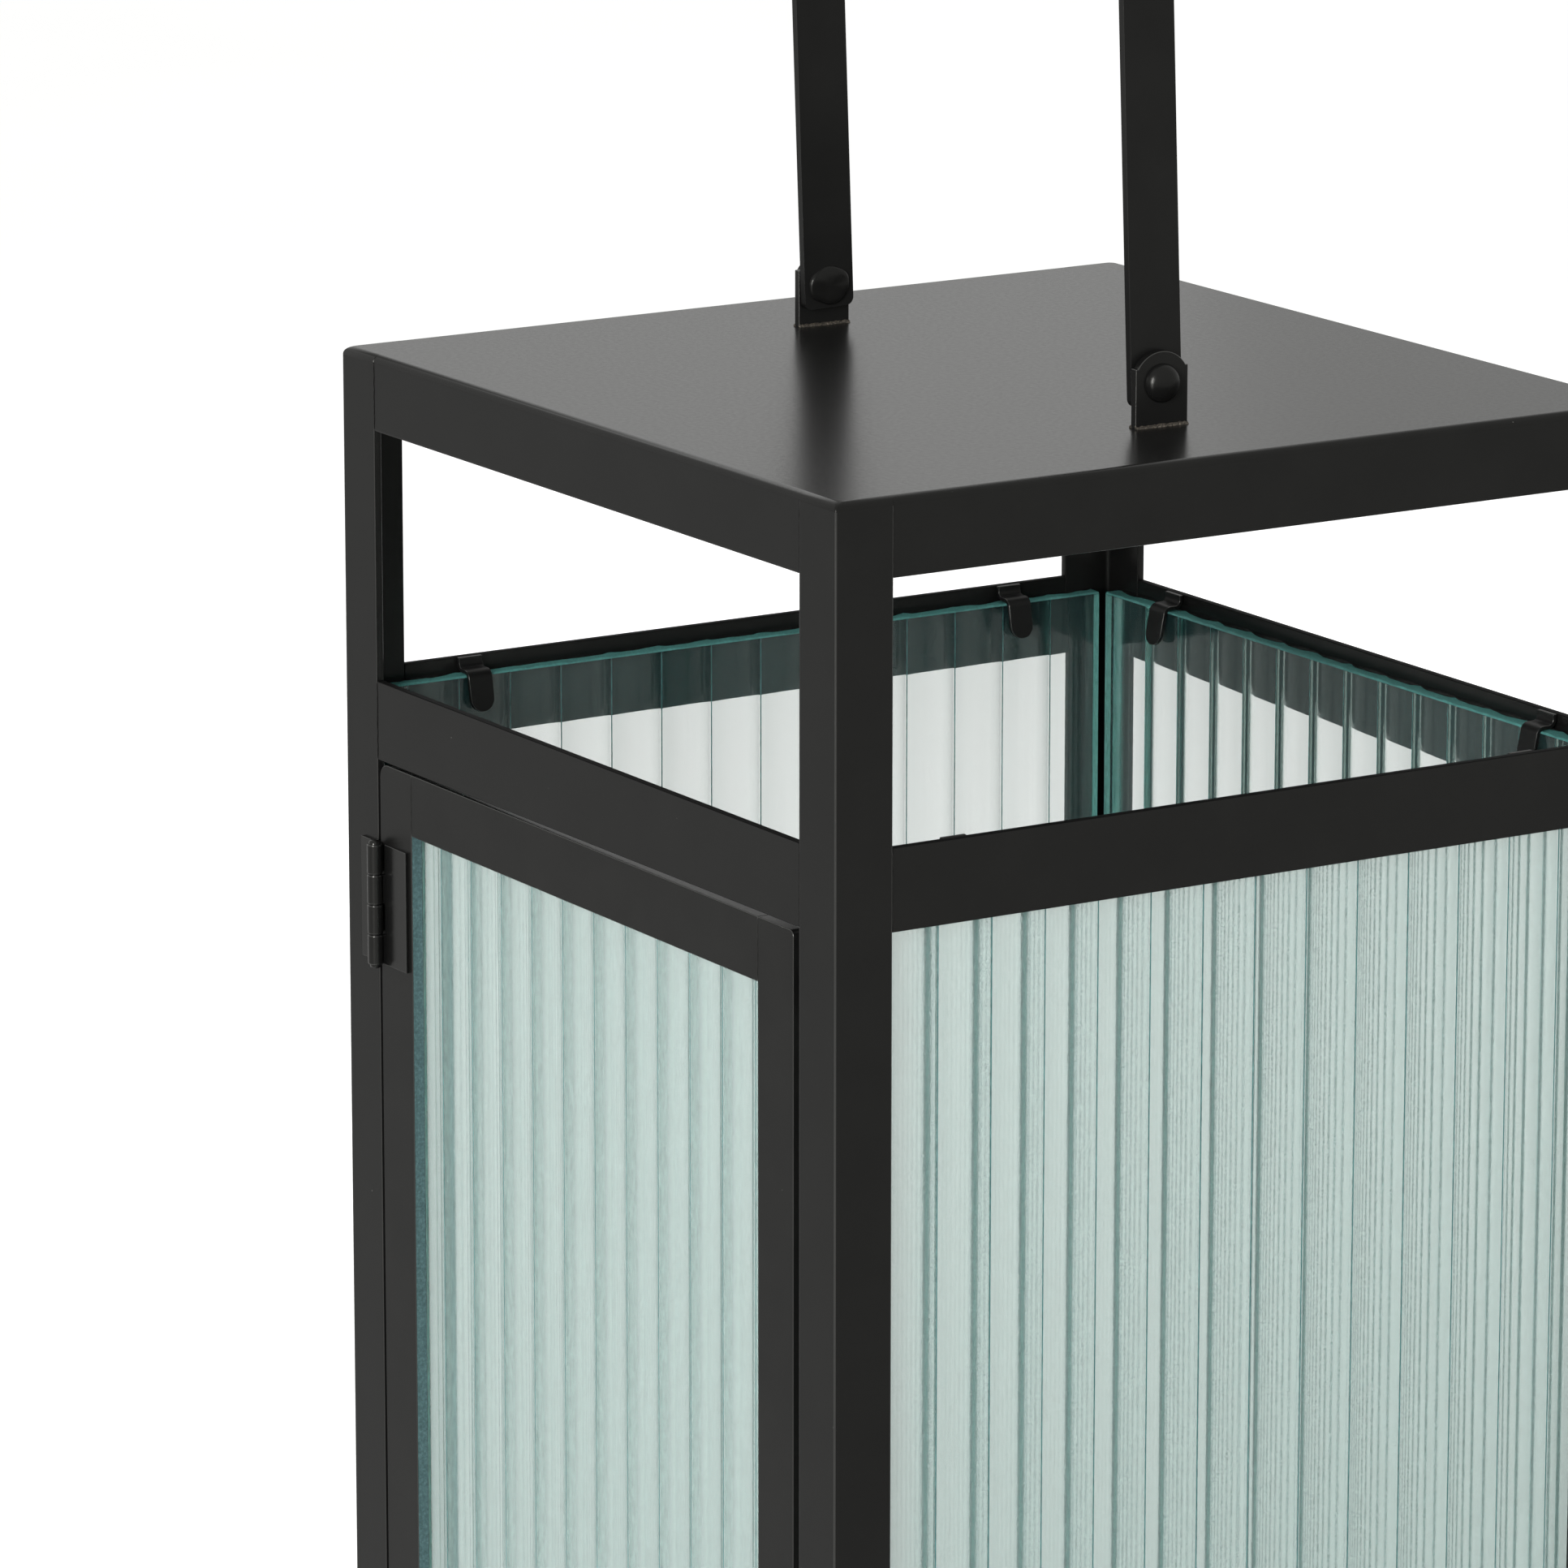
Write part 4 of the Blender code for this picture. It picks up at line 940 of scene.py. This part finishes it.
def build_seams(coat):
    """Ground weld seams where the plate's folded edge and the rail meet the posts."""
    spans = (("fascia", PLATE_LOW.z + 0.0004, TOP - 0.0016),
             ("rail", RAIL_LOW.z + 0.0003, RAIL_HIGH.z - 0.0003))
    for side, where in enumerate(SIDES):
        turn = Matrix.Rotation(radians(90) * side, 4, "Z")
        outward = turn @ Vector((0, -1, 0))
        for kind, low, high in spans:
            for end, u in (("left", -POST_EDGE), ("right", POST_EDGE)):
                points = [turn @ Vector((u, -HALF, z)) for z in (low, (low + high) / 2, high)]
                weld_line(f"weld_{kind}_{where}_{end}", points, outward, coat, "frame", "frame_coat",
                          seed=side * 4 + (u > 0) + 2 * (kind == "rail"), width=0.00028, height=0.00006)


# ---------------------------------------------------------------- stage, light and camera
ROOM_LIGHT = 0.60                  # strength of the room's own light
BRIGHT_WAY = (-0.84, 0.52, 0.15)   # the room is brighter that way
BRIGHT_POWER = 1.5
BRIGHT_GAIN = 0.08
CAMERA_AT = (1.6972, -1.1066, 0.8339)
CAMERA_TILT = 76.607               # degrees
CAMERA_TURN = 58.216
CAMERA_LENS = 202.8                # millimetres, on a 36 mm sensor


def build_stage():
    bm = bmesh.new()
    reach = 16.0
    cells = 8
    step = 2 * reach / cells
    under = -0.0004
    grid = [[bm.verts.new((-reach + i * step, -reach + j * step, under)) for j in range(cells + 1)]
            for i in range(cells + 1)]
    for i in range(cells):
        for j in range(cells):
            bm.faces.new((grid[i][j], grid[i + 1][j], grid[i + 1][j + 1], grid[i][j + 1]))
    mesh = bpy.data.meshes.new("studio_floor")
    bm.to_mesh(mesh)
    bm.free()
    mesh.materials.append(pale_floor())
    floor_obj = bpy.data.objects.new("studio_floor", mesh)
    bpy.context.scene.collection.objects.link(floor_obj)


def soft_box(name, azimuth, distance, height, size, power, target=None, spread=180):
    """A rectangular soft light; azimuth is measured from +X, in degrees.

    Without a target it hangs level, its length pointing away from the lantern.
    """
    data = bpy.data.lights.new(name, "AREA")
    data.shape = "RECTANGLE"
    data.size, data.size_y = size
    data.energy = power
    data.spread = radians(spread)
    light = bpy.data.objects.new(name, data)
    bpy.context.scene.collection.objects.link(light)
    turn = radians(azimuth)
    light.location = (distance * cos(turn), distance * sin(turn), height)
    light.rotation_euler = (0, 0, turn)
    if target:
        light.rotation_euler = (Vector(target) - light.location).to_track_quat("-Z", "Y").to_euler()


def build_world():
    """A pale studio, a little brighter behind and to the left of the lantern."""
    world = bpy.data.worlds.new("studio")
    bpy.context.scene.world = world
    world.use_nodes = True
    nodes = Nodes(world.node_tree)
    place = nodes.add("ShaderNodeTexCoord")
    facing = nodes.add("ShaderNodeVectorMath", operation="DOT_PRODUCT")
    nodes.join(place.outputs["Generated"], facing.inputs[0])
    facing.inputs[1].default_value = Vector(BRIGHT_WAY).normalized()
    lit = nodes.add("ShaderNodeMath", operation="MAXIMUM")
    nodes.join(facing.outputs["Value"], lit.inputs[0])
    lit.inputs[1].default_value = 0.0
    shaped = nodes.add("ShaderNodeMath", operation="POWER")
    nodes.join(lit.outputs[0], shaped.inputs[0])
    shaped.inputs[1].default_value = BRIGHT_POWER
    total = nodes.add("ShaderNodeMath", operation="MULTIPLY_ADD")
    nodes.join(shaped.outputs[0], total.inputs[0])
    total.inputs[1].default_value = BRIGHT_GAIN
    total.inputs[2].default_value = ROOM_LIGHT
    background = nodes.add("ShaderNodeBackground", Color=(1.0, 1.0, 0.985, 1.0))
    nodes.join(total.outputs[0], background.inputs["Strength"])
    output = nodes.add("ShaderNodeOutputWorld")
    nodes.join(background.outputs["Background"], output.inputs["Surface"])


def build_camera():
    data = bpy.data.cameras.new("camera")
    data.lens = CAMERA_LENS
    data.sensor_width = 36.0
    data.clip_start = 0.05
    data.clip_end = 100.0
    camera = bpy.data.objects.new("camera", data)
    bpy.context.scene.collection.objects.link(camera)
    camera.location = CAMERA_AT
    camera.rotation_euler = (radians(CAMERA_TILT), 0.0, radians(CAMERA_TURN))
    bpy.context.scene.camera = camera


def light_scene():
    build_world()
    soft_box("near_light", azimuth=147, distance=1.3, height=2.4, size=(1.2, 0.8), power=2.35, spread=50)
    soft_box("left_card", azimuth=165, distance=0.9, height=0.80, size=(0.8, 0.5), power=0.28,
             target=(0, 0, 0.45))
    soft_box("right_fill", azimuth=33, distance=1.8, height=1.2, size=(1.0, 1.0), power=1.2, spread=90)
    soft_box("key_strip", azimuth=-57, distance=2.3, height=0.9, size=(0.6, 1.7), power=4.2,
             target=(0, 0, 0.4), spread=40)
    view = bpy.context.scene.view_settings
    view.view_transform = "Standard"
    view.look = "None"


# ---------------------------------------------------------------- assembly
def main():
    build_camera()
    light_scene()
    build_stage()

    coats = {name: powder_coat(name, *look) for name, look in COATS.items()}
    coat = coats["frame_powder_coat"]
    door_coat = coats["door_powder_coat"]
    clip_coat = coats["clip_powder_coat"]
    weld = weld_coat()
    glass_reflection_paint = painted_glass_reflection()
    glasses = [reeded_glass("reeded_glass_" + name, *look) for name, look in GLASSES.items()]
    clear, hazy, frosted, ridged = glasses

    build_top_plate(coat)
    build_base_tray(coat)
    build_posts(coat)
    build_rails(coat, coats["sawn_edge_coat"])
    build_stops(clip_coat)
    build_panes({"right": hazy, "back": clear, "left": clear}, frosted, ridged)
    build_clips(clip_coat)
    build_door(door_coat, glass_reflection_paint, hazy, frosted, ridged)
    build_hinges(coats["hinge_powder_coat"])
    build_latch(coats["latch_satin_black"])
    build_lugs(coat, weld)
    build_handle(coats["handle_powder_coat"])
    build_rivets(coat)
    build_seams(coat)


main()
